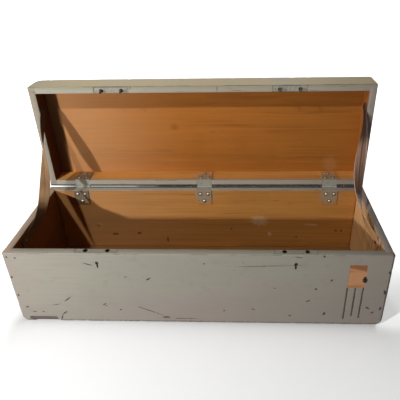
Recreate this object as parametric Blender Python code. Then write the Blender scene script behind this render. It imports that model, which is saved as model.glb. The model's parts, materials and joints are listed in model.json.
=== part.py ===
"""Travel trunk: a long wooden chest with a hinged lid, two chest locks and two leather lid straps.

Metres, +Z up. The origin is the middle of the underside and -Y is the front. The lid stands open.
Lid pieces are drawn where they lie on the shut trunk, then turned open about the hinge axis.
"""

import math

import bmesh
import bpy
from mathutils import Matrix, Vector

# Outer sizes
WIDTH = 1.000
DEPTH = 0.330
BOX_HEIGHT = 0.242
LID_HEIGHT = 0.072
RIM_GAP = 0.001
OPEN_ANGLE = math.radians(90.0)

# Boards and their rebated corners
BOARD = 0.020
BOTTOM = 0.018
LID_TOP = 0.014
CORNER_REBATE = 0.008
PANEL_REBATE = 0.006
BOX_ROUND_LEFT = 0.016
BOX_ROUND_RIGHT = 0.013
LID_ROUND_LEFT = 0.024
LID_ROUND_RIGHT = 0.010
SEAT = 0.0003
OVERCUT = 0.001

# Hinges: a bent leaf on each side of the gap, two knuckles on the box leaf and one on the lid leaf
HINGE_FROM_END = 0.105
HINGE_WIDTH = 0.046
HINGE_SETBACK = 0.0025
LEAF = 0.0018
LEAF_TOP_CLEAR = 0.006
KNUCKLE_RADIUS = 0.0042
KNUCKLE_GAP = 0.0004
KNUCKLE_CLEAR = 0.0005
PIN_RADIUS = 0.0021
PIN_FIT = 0.00008
PIN_PROUD = 0.0008
LEAF_SCREW_SPACING = 0.024
LEAF_SCREW_RIM = 0.013
LEAF_SCREW_END = 0.013

# Round-head and flat-head screws
SHANK_RADIUS = 0.0018
SHANK_LENGTH = 0.014
SHANK_TIP = 0.004
SHANK_CLEAR = 0.0003
DOME_RADIUS = 0.0044
DOME_HEIGHT = 0.0028
FLAT_RADIUS = 0.0036
FLAT_DEPTH = 0.0017

# Locks: a case let into the front board, a sliding bolt, a cap inside and a plate with two staples on the lid
LOCK_FROM_END = 0.244
CASE_PAST_STAPLES = 0.020
CASE_HEIGHT = 0.058
CASE_DEPTH = 0.0127
CASE_WALL = 0.0015
SELVEDGE_LAP = 0.006
SELVEDGE_WIDTH = 0.0155
SELVEDGE = 0.002
STAPLE_SPACING = 0.058
STAPLE_INSET = 0.007
STAPLE_WIDTH = 0.007
STAPLE_THICK = 0.0035
STAPLE_REACH = 0.016
STAPLE_EYE_WIDTH = 0.0036
STAPLE_EYE_TOP = 0.0075
STAPLE_END = 0.002
STAPLE_HOLE_RADIUS = 0.0052
BOLT_THROW = 0.008
BOLT_THICK = 0.0024
BOLT_LOW = 0.024
BOLT_TOP = 0.016
TONGUE_CLEAR = 0.001
ARM_WIDTH = 0.005
TALON_LEFT = -0.003
TALON_RIGHT = 0.005
TALON_DEPTH = 0.004
RAIL_WIDTH = 0.010
RAIL_THICK = 0.0017
KEYHOLE_DROP = 0.030
KEYHOLE_RADIUS = 0.0028
KEYHOLE_SLOT = 0.0027
KEYHOLE_LENGTH = 0.016
DRILL_PIN_RADIUS = 0.0012
CAP_LAP = 0.014
CAP_TOP = 0.004
CAP_PAST_CASE = 0.004
CAP = 0.0015
CAP_SCREW_PAST_CASE = 0.007
CAP_SCREW_DROP = 0.034
LID_PLATE_PAST_STAPLES = 0.021
LID_PLATE_FRONT = 0.002
LID_PLATE = 0.002
PLATE_SCREW_EDGE = 0.007

# Straps: each runs from a box end to a lid end with a half twist, bowed a little inward
STRAP_WIDTH = 0.030
STRAP_THICK = 0.0026
STRAP_TAB = 0.016
STRAP_FLAT = 0.008
STRAP_BOX_FROM_FRONT = 0.085
STRAP_BOX_DROP = 0.026
STRAP_LID_REACH = 0.252
STRAP_LID_DEPTH = 0.020
STRAP_BOWS = {"left": 0.012, "right": 0.027}
STRAP_SAGS = {"left": 0.048, "right": 0.034}
STRAP_BOW_EASE = 0.03
STRAP_TWIST_PLACES = {"left": 0.48, "right": 0.52}
STRAP_TWIST_HALF = 0.48
STRAP_STEPS = 36

# Facets of round shapes
ARC_STEPS = 6
SCREW_SIDES = 12
HOLE_SIDES = 12
KNUCKLE_SIDES = 20

# Worked-out places
FRONT = -DEPTH / 2
BACK = DEPTH / 2
AXIS_Y = BACK + HINGE_SETBACK
AXIS_Z = BOX_HEIGHT + RIM_GAP / 2
LID_LOW = BOX_HEIGHT + RIM_GAP
LID_HIGH = LID_LOW + LID_HEIGHT
HINGE_END_PLACE = WIDTH / 2 - HINGE_FROM_END
LEAF_DROP = LID_HEIGHT - LID_TOP - LEAF_TOP_CLEAR
LEAF_SCREW_PLACES = (
    (-LEAF_SCREW_SPACING / 2, LEAF_SCREW_RIM),
    (LEAF_SCREW_SPACING / 2, LEAF_SCREW_RIM),
    (0.0, LEAF_DROP - LEAF_SCREW_END),
)
LOCK_PLACE = WIDTH / 2 - LOCK_FROM_END
CASE_WIDTH = STAPLE_SPACING + 2 * CASE_PAST_STAPLES
SELVEDGE_LENGTH = CASE_WIDTH + 2 * SELVEDGE_LAP
STAPLE_Y = FRONT + BOARD - STAPLE_INSET
STAPLE_EYE_LOW = STAPLE_REACH - STAPLE_END
TONGUE_LOW = STAPLE_EYE_LOW - TONGUE_CLEAR
TONGUE_TOP = STAPLE_EYE_TOP + TONGUE_CLEAR
TONGUE_SETBACK = STAPLE_THICK / 2 + TONGUE_CLEAR
ARM_SETBACK = TONGUE_SETBACK + BOLT_THROW + ARM_WIDTH
CAP_WIDTH = CASE_WIDTH + 2 * CAP_LAP
CAP_LOW = CASE_HEIGHT + CAP_PAST_CASE
CAP_SCREW_PLACE = CASE_WIDTH / 2 + CAP_SCREW_PAST_CASE
LID_PLATE_LENGTH = STAPLE_SPACING + 2 * LID_PLATE_PAST_STAPLES
PLATE_SCREW_PLACE = LID_PLATE_LENGTH / 2 - PLATE_SCREW_EDGE
AXIS_ORDER = {"X": "YZX", "Y": "XZY", "Z": "XYZ"}


def outward_sign(label):
    return -1.0 if label == "left" else 1.0


def axis_numbers(axis):
    """Index numbers of the two axes across the named one, then of the named one."""
    return ["XYZ".index(letter) for letter in AXIS_ORDER[axis]]


def clear_scene():
    for item in list(bpy.data.objects):
        bpy.data.objects.remove(item)


def make_finish(name, colour, roughness, metallic=0.0):
    """A plain Principled material; the colour is linear."""
    finish = bpy.data.materials.new(name)
    finish.use_nodes = True
    shader = finish.node_tree.nodes["Principled BSDF"]
    shader.inputs["Base Color"].default_value = (*colour, 1.0)
    shader.inputs["Roughness"].default_value = roughness
    shader.inputs["Metallic"].default_value = metallic
    return finish


def add_piece(name, shape, finishes, parent=None, location=(0.0, 0.0, 0.0)):
    """Turns a closed bmesh into a named object; the second finish, if any, is for faces marked 1."""
    bmesh.ops.recalc_face_normals(shape, faces=shape.faces)
    mesh = bpy.data.meshes.new(name)
    shape.to_mesh(mesh)
    shape.free()
    for finish in finishes:
        mesh.materials.append(finish)
    piece = bpy.data.objects.new(name, mesh)
    bpy.context.scene.collection.objects.link(piece)
    piece.parent = parent
    piece.location = location
    return piece


def combine(piece, shape, operation):
    """Cuts a closed bmesh from a piece, or joins it on, through a Boolean modifier."""
    number = len(piece.modifiers) + 1
    tool = add_piece(f"{piece.name}_tool_{number}", shape, [], piece.parent, piece.location)
    tool.hide_render = True
    tool.display_type = "WIRE"
    boolean = piece.modifiers.new(f"step_{number}", "BOOLEAN")
    boolean.operation = operation
    boolean.solver = "EXACT"
    boolean.object = tool


def cut(piece, shape):
    combine(piece, shape, "DIFFERENCE")


def join(piece, shape):
    combine(piece, shape, "UNION")


def prism(outline, axis, low, high):
    """A closed outline in the other two axes, pushed out along the named axis."""
    first, second, along = axis_numbers(axis)
    shape = bmesh.new()
    corners = []
    for across, up in outline:
        point = [0.0, 0.0, 0.0]
        point[first] = across
        point[second] = up
        point[along] = low
        corners.append(shape.verts.new(point))
    face = shape.faces.new(corners)
    pushed = bmesh.ops.extrude_face_region(shape, geom=[face])["geom"]
    step = Vector((0.0, 0.0, 0.0))
    step[along] = high - low
    moved = [item for item in pushed if isinstance(item, bmesh.types.BMVert)]
    bmesh.ops.translate(shape, verts=moved, vec=step)
    return shape


def block(low, high):
    outline = ((low[0], low[1]), (high[0], low[1]), (high[0], high[1]), (low[0], high[1]))
    return prism(outline, "Z", low[2], high[2])


def turned(profile, sides):
    """A half profile of (radius, height) pairs, from axis to axis, turned about Z."""
    shape = bmesh.new()
    ring = [shape.verts.new((radius, 0.0, height)) for radius, height in profile]
    edges = [shape.edges.new(pair) for pair in zip(ring, ring[1:])]
    bmesh.ops.spin(shape, geom=ring + edges, cent=(0, 0, 0), axis=(0, 0, 1), angle=2 * math.pi, steps=sides)
    bmesh.ops.remove_doubles(shape, verts=shape.verts, dist=1e-6)
    return shape


def rod(radius, sides, axis, low, high, middle=(0.0, 0.0)):
    """A cylinder along the named axis, its middle given in the other two axes."""
    shape = turned(((0.0, low), (radius, low), (radius, high), (0.0, high)), sides)
    first, second, along = axis_numbers(axis)
    turn = Matrix.Identity(3)
    if axis == "X":
        turn = Matrix.Rotation(math.pi / 2, 3, "Y")
    if axis == "Y":
        turn = Matrix.Rotation(-math.pi / 2, 3, "X")
    bmesh.ops.rotate(shape, verts=shape.verts, matrix=turn)
    move = Vector((0.0, 0.0, 0.0))
    move[first] = middle[0]
    move[second] = middle[1]
    bmesh.ops.translate(shape, verts=shape.verts, vec=move)
    return shape


def mark_facing(shape, direction):
    """Marks the faces that look in a direction for the second finish."""
    bmesh.ops.recalc_face_normals(shape, faces=shape.faces)
    for face in shape.faces:
        face.normal_update()
        if face.normal.dot(Vector(direction)) > 0.9:
            face.material_index = 1
    return shape


def corner_arc(radius, reach):
    """Points (in from the outer face, up from the edge) round an outer corner, as far in as reach."""
    end = math.acos(1.0 - min(reach, radius) / radius)
    angles = [end * step / ARC_STEPS for step in range(ARC_STEPS + 1)]
    return [(radius - radius * math.cos(angle), radius - radius * math.sin(angle)) for angle in angles]


def long_board_outline(edge, rim, left_radius, right_radius):
    """Front view of a full-width board with its two far corners rounded."""
    way = 1.0 if rim > edge else -1.0
    half = WIDTH / 2
    left = [(-half + inward, edge + way * up) for inward, up in corner_arc(left_radius, left_radius)]
    right = [(half - inward, edge + way * up) for inward, up in corner_arc(right_radius, right_radius)]
    return [(-half, rim)] + left + right[::-1] + [(half, rim)]


def end_board_outline(side, edge, rim, radius, panel):
    """Front view of an end board: rounded outside, rebated inside for the panel it holds."""
    way = 1.0 if rim > edge else -1.0
    lip = BOARD - PANEL_REBATE
    points = corner_arc(radius, lip)
    if radius < lip:
        points.append((lip, 0.0))
    points += [(lip, panel + SEAT), (BOARD, panel + SEAT), (BOARD, abs(rim - edge)), (0.0, abs(rim - edge))]
    return [(side * (WIDTH / 2 - inward), edge + way * up) for inward, up in points]


def panel_outline(edge, way, left_radius, right_radius, panel):
    """Front view of the bottom board or lid top, which follows an outer corner that reaches it."""
    reach = BOARD - PANEL_REBATE + SEAT
    points = []
    for side, radius in ((-1.0, left_radius), (1.0, right_radius)):
        run = [(reach, panel)]
        if radius > reach:
            steps = [reach + (radius - reach) * step / ARC_STEPS for step in range(ARC_STEPS + 1)]
            run += [(inward, radius - math.sqrt(radius ** 2 - (radius - inward) ** 2)) for inward in steps]
        else:
            run.append((reach, 0.0))
        placed = [(side * (WIDTH / 2 - inward), edge + way * up) for inward, up in run]
        points += placed if side < 0 else placed[::-1]
    return points


def long_board(name, face_y, inner_y, edge, rim, radii, panel, finishes, parent, location):
    """A front or back board with rebates for the two end boards and for the bottom or top panel."""
    inward = 1.0 if inner_y > face_y else -1.0
    shape = prism(long_board_outline(edge, rim, *radii), "Y", min(face_y, inner_y), max(face_y, inner_y))
    piece = add_piece(name, mark_facing(shape, (0, inward, 0)), finishes, parent, location)
    low = min(edge, rim) - OVERCUT
    high = max(edge, rim) + OVERCUT
    rebate_y = sorted((inner_y - inward * CORNER_REBATE, inner_y + inward * OVERCUT))
    for side in (-1.0, 1.0):
        rebate_x = sorted((side * (WIDTH / 2 - BOARD - SEAT), side * (WIDTH / 2 + OVERCUT)))
        cut(piece, block((rebate_x[0], rebate_y[0], low), (rebate_x[1], rebate_y[1], high)))
    groove_y = sorted((inner_y - inward * PANEL_REBATE, inner_y + inward * OVERCUT))
    way = 1.0 if rim > edge else -1.0
    groove_z = sorted((edge - way * OVERCUT, edge + way * (panel + SEAT)))
    reach = WIDTH / 2 - BOARD + PANEL_REBATE
    cut(piece, block((-reach, groove_y[0], groove_z[0]), (reach, groove_y[1], groove_z[1])))
    return piece


def end_board(name, side, edge, rim, radius, panel, finishes, parent, location):
    half = DEPTH / 2 - BOARD + CORNER_REBATE - SEAT
    shape = prism(end_board_outline(side, edge, rim, radius, panel), "Y", -half, half)
    return add_piece(name, mark_facing(shape, (-side, 0, 0)), finishes, parent, location)


def panel_board(name, edge, way, radii, panel, finishes, parent, location):
    half = DEPTH / 2 - BOARD + PANEL_REBATE - SEAT
    shape = prism(panel_outline(edge, way, *radii, panel), "Y", -half, half)
    return add_piece(name, mark_facing(shape, (0, 0, way)), finishes, parent, location)


def screw(name, profile, outward, location, finish, parent=None):
    """A turned screw whose head looks outward and whose head seat lies at the given place."""
    piece = add_piece(name, turned(profile, SCREW_SIDES), [finish], parent, location)
    piece.rotation_euler = Vector((0, 0, 1)).rotation_difference(Vector(outward)).to_euler()
    return piece


def dome_profile():
    return (
        (0.0, -SHANK_LENGTH),
        (SHANK_RADIUS, SHANK_TIP - SHANK_LENGTH),
        (SHANK_RADIUS, 0.0),
        (DOME_RADIUS, 0.0),
        (DOME_RADIUS * 0.93, DOME_HEIGHT * 0.40),
        (DOME_RADIUS * 0.62, DOME_HEIGHT * 0.83),
        (0.0, DOME_HEIGHT),
    )


def flat_profile(grow):
    """A countersunk screw, or with grow the hole that takes it."""
    return (
        (0.0, -SHANK_LENGTH - grow),
        (SHANK_RADIUS + grow, SHANK_TIP - SHANK_LENGTH),
        (SHANK_RADIUS + grow, -FLAT_DEPTH),
        (FLAT_RADIUS + grow, 0.0 if grow == 0.0 else -SEAT),
        (FLAT_RADIUS + grow, SEAT + grow),
        (0.0, SEAT + grow),
    )


def shank_hole(axis, low, high, middle):
    return rod((SHANK_RADIUS + SHANK_CLEAR) / math.cos(math.pi / HOLE_SIDES), HOLE_SIDES, axis, low, high, middle)


def hinge_seat(board, side, place):
    """Lets a hinge leaf into a back board's rim, clears its knuckles and drills for its screws."""
    rim = AXIS_Z + side * RIM_GAP / 2
    half = HINGE_WIDTH / 2 + SEAT
    seat_z = sorted((rim - side * OVERCUT, rim + side * (LEAF + SEAT)))
    cut(board, block((place - half, BACK - BOARD - OVERCUT, seat_z[0]), (place + half, AXIS_Y, seat_z[1])))
    relief = rod(KNUCKLE_RADIUS + KNUCKLE_CLEAR, KNUCKLE_SIDES, "X", place - half, place + half, (AXIS_Y, AXIS_Z))
    cut(board, relief)
    inner = BACK - BOARD
    for across, drop in LEAF_SCREW_PLACES:
        cut(board, shank_hole("Y", inner - OVERCUT, inner + SHANK_LENGTH, (place + across, rim + side * drop)))


def hinge_leaf(name, side, finish, parent, location):
    """A bent leaf drawn about the hinge axis: over the rim, then along the inner face of the board."""
    rim = side * RIM_GAP / 2
    half = HINGE_WIDTH / 2
    seat = -(HINGE_SETBACK + BOARD + SEAT)
    outline = (
        (0.0, rim),
        (seat - LEAF, rim),
        (seat - LEAF, rim + side * LEAF_DROP),
        (seat, rim + side * LEAF_DROP),
        (seat, rim + side * LEAF),
        (0.0, rim + side * LEAF),
    )
    piece = add_piece(name, prism(outline, "X", -half, half), [finish], parent, location)
    join(piece, rod(KNUCKLE_RADIUS, KNUCKLE_SIDES, "X", -half + SEAT, half - SEAT))
    third = HINGE_WIDTH / 6
    clear = KNUCKLE_RADIUS + KNUCKLE_CLEAR
    if side < 0:
        stretches = ((-third - KNUCKLE_GAP / 2, third + KNUCKLE_GAP / 2),)
    else:
        stretches = ((-half - OVERCUT, -third + KNUCKLE_GAP / 2), (third - KNUCKLE_GAP / 2, half + OVERCUT))
    for low, high in stretches:
        cut(piece, rod(clear, KNUCKLE_SIDES, "X", low, high))
    bore = (PIN_RADIUS + PIN_FIT) / math.cos(math.pi / KNUCKLE_SIDES)
    cut(piece, rod(bore, KNUCKLE_SIDES, "X", -half - OVERCUT, half + OVERCUT))
    for across, drop in LEAF_SCREW_PLACES:
        cut(piece, shank_hole("Y", seat - LEAF - OVERCUT, seat + OVERCUT, (across, rim + side * drop)))
    return piece


def build_hinge(label, place, box_back, lid_back, lid_axis, finishes):
    box_place = (place, AXIS_Y, AXIS_Z)
    lid_place = (place, 0.0, 0.0)
    hinge_leaf(f"hinge_{label}_box_leaf", -1.0, finishes["hinge"], None, box_place)
    hinge_leaf(f"hinge_{label}_lid_leaf", 1.0, finishes["hinge"], lid_axis, lid_place)
    half = HINGE_WIDTH / 2 + PIN_PROUD
    pin = rod(PIN_RADIUS, KNUCKLE_SIDES, "X", -half, half)
    add_piece(f"hinge_{label}_pin", pin, [finishes["steel"]], None, box_place)
    head_y = -(HINGE_SETBACK + BOARD + LEAF + 2 * SEAT)
    for body, side, board in (("box", -1.0, box_back), ("lid", 1.0, lid_back)):
        hinge_seat(board, side, place)
        for number, (across, drop) in enumerate(LEAF_SCREW_PLACES, 1):
            spot = Vector((place + across, head_y, side * (RIM_GAP / 2 + drop)))
            parent = lid_axis
            if body == "box":
                parent = None
                spot += Vector((0.0, AXIS_Y, AXIS_Z))
            screw(f"hinge_{label}_{body}_screw_{number}", dome_profile(), (0, -1, 0), spot, finishes["steel"], parent)


def keyhole_outline(middle_x):
    """A round head with a narrower slot below it."""
    middle_z = BOX_HEIGHT - KEYHOLE_DROP
    half = KEYHOLE_SLOT / 2
    start = math.asin(half / KEYHOLE_RADIUS)
    steps = 2 * ARC_STEPS
    points = []
    for step in range(steps + 1):
        angle = -math.pi / 2 + start + (2 * math.pi - 2 * start) * step / steps
        points.append((middle_x + KEYHOLE_RADIUS * math.cos(angle), middle_z + KEYHOLE_RADIUS * math.sin(angle)))
    low = middle_z + KEYHOLE_RADIUS - KEYHOLE_LENGTH
    return points + [(middle_x - half, low), (middle_x + half, low)]


def lock_seat(box_front, place):
    """Opens the front board for a lock: case pocket, selvedge recess, keyhole and two cap screws."""
    inner = FRONT + BOARD
    half = CASE_WIDTH / 2 + SEAT
    pocket_y = inner - CASE_DEPTH - SEAT
    pocket_low = BOX_HEIGHT - CASE_HEIGHT - SEAT
    top = BOX_HEIGHT + OVERCUT
    cut(box_front, block((place - half, pocket_y, pocket_low), (place + half, inner + OVERCUT, top)))
    half = SELVEDGE_LENGTH / 2 + SEAT
    recess_y = inner - SELVEDGE_WIDTH - 2 * SEAT
    recess_low = BOX_HEIGHT - SELVEDGE - 2 * SEAT
    cut(box_front, block((place - half, recess_y, recess_low), (place + half, inner + OVERCUT, top)))
    cut(box_front, prism(keyhole_outline(place), "Y", FRONT - OVERCUT, pocket_y + OVERCUT))
    for side in (-1.0, 1.0):
        middle = (place + side * CAP_SCREW_PLACE, BOX_HEIGHT - CAP_SCREW_DROP)
        cut(box_front, shank_hole("Y", inner - SHANK_LENGTH, inner + OVERCUT, middle))


def lock_case(name, place, finish):
    """A shallow tray open to the inside, with the selvedge plate along its top and rails for the bolt."""
    inner = FRONT + BOARD
    back = inner - CASE_DEPTH
    half = CASE_WIDTH / 2
    low = BOX_HEIGHT - CASE_HEIGHT
    top = BOX_HEIGHT - SEAT
    shell = block((place - half, back, low), (place + half, inner, top - SELVEDGE / 2))
    piece = add_piece(name, shell, [finish])
    half = SELVEDGE_LENGTH / 2
    plate_y = inner - SELVEDGE_WIDTH - SEAT
    join(piece, block((place - half, plate_y, top - SELVEDGE), (place + half, inner - SEAT, top)))
    half = CASE_WIDTH / 2 - CASE_WALL
    hollow_y = back + CASE_WALL
    hollow_top = top - SELVEDGE - CASE_WALL
    cut(piece, block((place - half, hollow_y, low + CASE_WALL), (place + half, inner + OVERCUT, hollow_top)))
    for side in (-1.0, 1.0):
        middle = (place + side * STAPLE_SPACING / 2, STAPLE_Y)
        hole = rod(STAPLE_HOLE_RADIUS, KNUCKLE_SIDES, "Z", hollow_top - OVERCUT, BOX_HEIGHT + OVERCUT, middle)
        cut(piece, hole)
    cut(piece, prism(keyhole_outline(place), "Y", back - OVERCUT, hollow_y + OVERCUT))
    rail_top = BOX_HEIGHT - BOLT_LOW - SEAT
    for rail_x in (place - STAPLE_SPACING / 2 - RAIL_WIDTH, place + RAIL_WIDTH):
        rail_low = (rail_x, back + CASE_WALL / 2, rail_top - RAIL_THICK)
        rail_high = (rail_x + RAIL_WIDTH, STAPLE_Y + BOLT_THICK, rail_top)
        join(piece, block(rail_low, rail_high))
    return piece


def bolt_outline():
    """Front view of the bolt about the lock's middle and the rim: a bar with two tongues and a key notch."""
    tongues = {}
    for side in (-1.0, 1.0):
        staple = side * STAPLE_SPACING / 2
        arm = staple - ARM_SETBACK
        tip = staple - TONGUE_SETBACK
        tongues[side] = (arm, arm + ARM_WIDTH, tip)
    left_arm, left_root, left_tip = tongues[-1.0]
    right_arm, right_root, right_tip = tongues[1.0]
    notch = TALON_DEPTH - BOLT_LOW
    return (
        (left_arm, -BOLT_LOW), (TALON_LEFT, -BOLT_LOW), (TALON_LEFT, notch), (TALON_RIGHT, notch),
        (TALON_RIGHT, -BOLT_LOW), (right_root, -BOLT_LOW), (right_root, -TONGUE_LOW), (right_tip, -TONGUE_LOW),
        (right_tip, -TONGUE_TOP), (right_arm, -TONGUE_TOP), (right_arm, -BOLT_TOP), (left_root, -BOLT_TOP),
        (left_root, -TONGUE_LOW), (left_tip, -TONGUE_LOW), (left_tip, -TONGUE_TOP), (left_arm, -TONGUE_TOP),
    )


def lock_cap(name, place, finish):
    """The plate that closes the case from inside the box and carries the key's drill pin."""
    inner = FRONT + BOARD + SEAT
    half = CAP_WIDTH / 2
    plate = block((place - half, inner, BOX_HEIGHT - CAP_LOW), (place + half, inner + CAP, BOX_HEIGHT - CAP_TOP))
    piece = add_piece(name, plate, [finish])
    pin_end = FRONT + BOARD - CASE_DEPTH + CASE_WALL + SEAT
    middle = (place, BOX_HEIGHT - KEYHOLE_DROP)
    join(piece, rod(DRILL_PIN_RADIUS, HOLE_SIDES, "Y", pin_end, inner + CAP / 2, middle))
    for side in (-1.0, 1.0):
        spot = (place + side * CAP_SCREW_PLACE, BOX_HEIGHT - CAP_SCREW_DROP)
        cut(piece, shank_hole("Y", inner - OVERCUT, inner + CAP + OVERCUT, spot))
    return piece


def staple_outline():
    """Side view of a staple: straight sides and a round end."""
    radius = STAPLE_WIDTH / 2
    middle_z = BOX_HEIGHT - STAPLE_REACH + radius
    angles = [math.pi + math.pi * step / (2 * ARC_STEPS) for step in range(2 * ARC_STEPS + 1)]
    arc = [(STAPLE_Y + radius * math.cos(angle), middle_z + radius * math.sin(angle)) for angle in angles]
    root = LID_LOW + LID_PLATE / 2
    return [(STAPLE_Y - radius, root)] + arc + [(STAPLE_Y + radius, root)]


def lid_plate(label, place, lid_front, lid_axis, hang, finishes):
    """The plate let into the lid's front rim, with two staples that drop into the lock, and its screws."""
    half = LID_PLATE_LENGTH / 2
    inner = FRONT + BOARD
    low_y = FRONT + LID_PLATE_FRONT
    seat_low = (place - half - SEAT, low_y - SEAT, LID_LOW - OVERCUT)
    seat_high = (place + half + SEAT, inner + OVERCUT, LID_LOW + LID_PLATE + SEAT)
    cut(lid_front, block(seat_low, seat_high))
    plate = block((place - half, low_y, LID_LOW), (place + half, inner - SEAT, LID_LOW + LID_PLATE))
    piece = add_piece(f"lock_{label}_lid_plate", plate, [finishes["lock"]], lid_axis, hang)
    eye = STAPLE_EYE_WIDTH / 2
    for side in (-1.0, 1.0):
        middle = place + side * STAPLE_SPACING / 2
        low_x = middle - STAPLE_THICK / 2
        high_x = middle + STAPLE_THICK / 2
        join(piece, prism(staple_outline(), "X", low_x, high_x))
        eye_low = (low_x - OVERCUT, STAPLE_Y - eye, BOX_HEIGHT - STAPLE_EYE_LOW)
        eye_high = (high_x + OVERCUT, STAPLE_Y + eye, BOX_HEIGHT - STAPLE_EYE_TOP)
        cut(piece, block(eye_low, eye_high))
    for number, side in enumerate((-1.0, 1.0), 1):
        spot = Vector((place + side * PLATE_SCREW_PLACE, FRONT + (BOARD + LID_PLATE_FRONT) / 2, LID_LOW + SEAT))
        for target in (piece, lid_front):
            hole = turned(flat_profile(SHANK_CLEAR), HOLE_SIDES)
            bmesh.ops.rotate(hole, verts=hole.verts, matrix=Matrix.Rotation(math.pi, 3, "X"))
            bmesh.ops.translate(hole, verts=hole.verts, vec=spot)
            cut(target, hole)
        name = f"lock_{label}_plate_screw_{number}"
        screw(name, flat_profile(0.0), (0, 0, -1), spot + Vector(hang), finishes["steel"], lid_axis)


def build_lock(label, place, box_front, lid_front, lid_axis, hang, finishes):
    lock_seat(box_front, place)
    lock_case(f"lock_{label}_case", place, finishes["lock"])
    bolt = prism(bolt_outline(), "Y", -BOLT_THICK / 2, BOLT_THICK / 2)
    add_piece(f"lock_{label}_bolt", bolt, [finishes["steel"]], None, (place, STAPLE_Y, BOX_HEIGHT))
    lock_cap(f"lock_{label}_cap", place, finishes["lock"])
    head_y = FRONT + BOARD + CAP + 2 * SEAT
    for number, side in enumerate((-1.0, 1.0), 1):
        spot = (place + side * CAP_SCREW_PLACE, head_y, BOX_HEIGHT - CAP_SCREW_DROP)
        screw(f"lock_{label}_cap_screw_{number}", dome_profile(), (0, 1, 0), spot, finishes["steel"])
    lid_plate(label, place, lid_front, lid_axis, hang, finishes)


def strap_ends(side):
    """The two screw places of a strap, on the middle of its thickness, with the lid open."""
    x = side * (WIDTH / 2 - BOARD - SEAT - STRAP_THICK / 2)
    box_end = Vector((x, FRONT + STRAP_BOX_FROM_FRONT, BOX_HEIGHT - STRAP_BOX_DROP))
    shut = Vector((x, -STRAP_LID_REACH, RIM_GAP / 2 + STRAP_LID_DEPTH))
    lid_end = Matrix.Rotation(-OPEN_ANGLE, 3, "X") @ shut + Vector((0.0, AXIS_Y, AXIS_Z))
    return box_end, lid_end


def strap_bow(place, flat):
    """Share of the bow along the chord: 27/4 e (1 - e)^2, with e eased in past the flat at the box end."""
    inside = min(max((place - flat) / (1.0 - flat), 0.0), 1.0)
    eased = math.hypot(inside, STRAP_BOW_EASE) - STRAP_BOW_EASE
    eased /= math.hypot(1.0, STRAP_BOW_EASE) - STRAP_BOW_EASE
    return 6.75 * eased * (1 - eased) ** 2


def strap_sag(place):
    """Share of the sag along the chord: 27/4 p (1 - p)^2, carried on straight past the box end."""
    inside = min(max(place, 0.0), 1.0)
    return 6.75 * (inside * (1 - inside) ** 2 + min(place, 0.0))


def strap_middle(label, place):
    """A point of the strap's middle line: on the chord, bowed inward and sagging towards the hinges."""
    side = outward_sign(label)
    box_end, lid_end = strap_ends(side)
    chord = lid_end - box_end
    along = chord.normalized()
    inward = Vector((-side, 0.0, 0.0))
    down = Vector((0.0, along.z, -along.y))
    bow = STRAP_BOWS[label] * strap_bow(place, STRAP_FLAT / chord.length)
    return box_end + chord * place + inward * bow + down * STRAP_SAGS[label] * strap_sag(place)


def strap_shape(label):
    """A flat band swept from tab to tab along its middle line, with a half turn eased about its twist place."""
    side = outward_sign(label)
    box_end, lid_end = strap_ends(side)
    inward = Vector((-side, 0.0, 0.0))
    tab = STRAP_TAB / (lid_end - box_end).length
    twist_start = STRAP_TWIST_PLACES[label] - STRAP_TWIST_HALF
    near = 0.2 / STRAP_STEPS
    shape = bmesh.new()
    rows = []
    for step in range(STRAP_STEPS + 1):
        place = -tab + (1 + 2 * tab) * step / STRAP_STEPS
        turn = min(max((place - twist_start) / (2 * STRAP_TWIST_HALF), 0.0), 1.0)
        angle = math.pi * turn * turn * (3 - 2 * turn)
        along = (strap_middle(label, place + near) - strap_middle(label, place - near)).normalized()
        square = (inward - along * inward.dot(along)).normalized()
        across = along.cross(square) * math.cos(angle) + square * math.sin(angle)
        through = along.cross(across)
        middle = strap_middle(label, place)
        row = []
        for width, thick in ((-1, -1), (1, -1), (1, 1), (-1, 1)):
            corner = middle + across * width * STRAP_WIDTH / 2 + through * thick * STRAP_THICK / 2
            row.append(shape.verts.new(corner))
        rows.append(row)
    for low, high in zip(rows, rows[1:]):
        for first in range(4):
            second = (first + 1) % 4
            shape.faces.new((low[first], low[second], high[second], high[first]))
    shape.faces.new(rows[0])
    shape.faces.new(rows[-1])
    return shape


def build_strap(label, box_end_board, lid_end_board, lid_axis, hang, finishes):
    """A strap with one round-head screw into the box end and one into the lid end."""
    side = outward_sign(label)
    strap = add_piece(f"strap_{label}", strap_shape(label), [finishes["strap"]])
    wall = side * (WIDTH / 2 - BOARD)
    hole_x = sorted((wall - side * (STRAP_THICK + SEAT + OVERCUT), wall + side * SHANK_LENGTH))
    box_end, lid_end = strap_ends(side)
    for end in (box_end, lid_end):
        cut(strap, shank_hole("X", hole_x[0], hole_x[1], (end.y, end.z)))
    shut_lid = (AXIS_Y - STRAP_LID_REACH, AXIS_Z + RIM_GAP / 2 + STRAP_LID_DEPTH)
    cut(box_end_board, shank_hole("X", hole_x[0], hole_x[1], (box_end.y, box_end.z)))
    cut(lid_end_board, shank_hole("X", hole_x[0], hole_x[1], shut_lid))
    head_x = wall - side * (STRAP_THICK + 2 * SEAT)
    outward = (-side, 0, 0)
    box_spot = (head_x, box_end.y, box_end.z)
    screw(f"strap_{label}_box_screw", dome_profile(), outward, box_spot, finishes["steel"])
    lid_spot = Vector((head_x, *shut_lid)) + Vector(hang)
    screw(f"strap_{label}_lid_screw", dome_profile(), outward, lid_spot, finishes["steel"], lid_axis)


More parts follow.
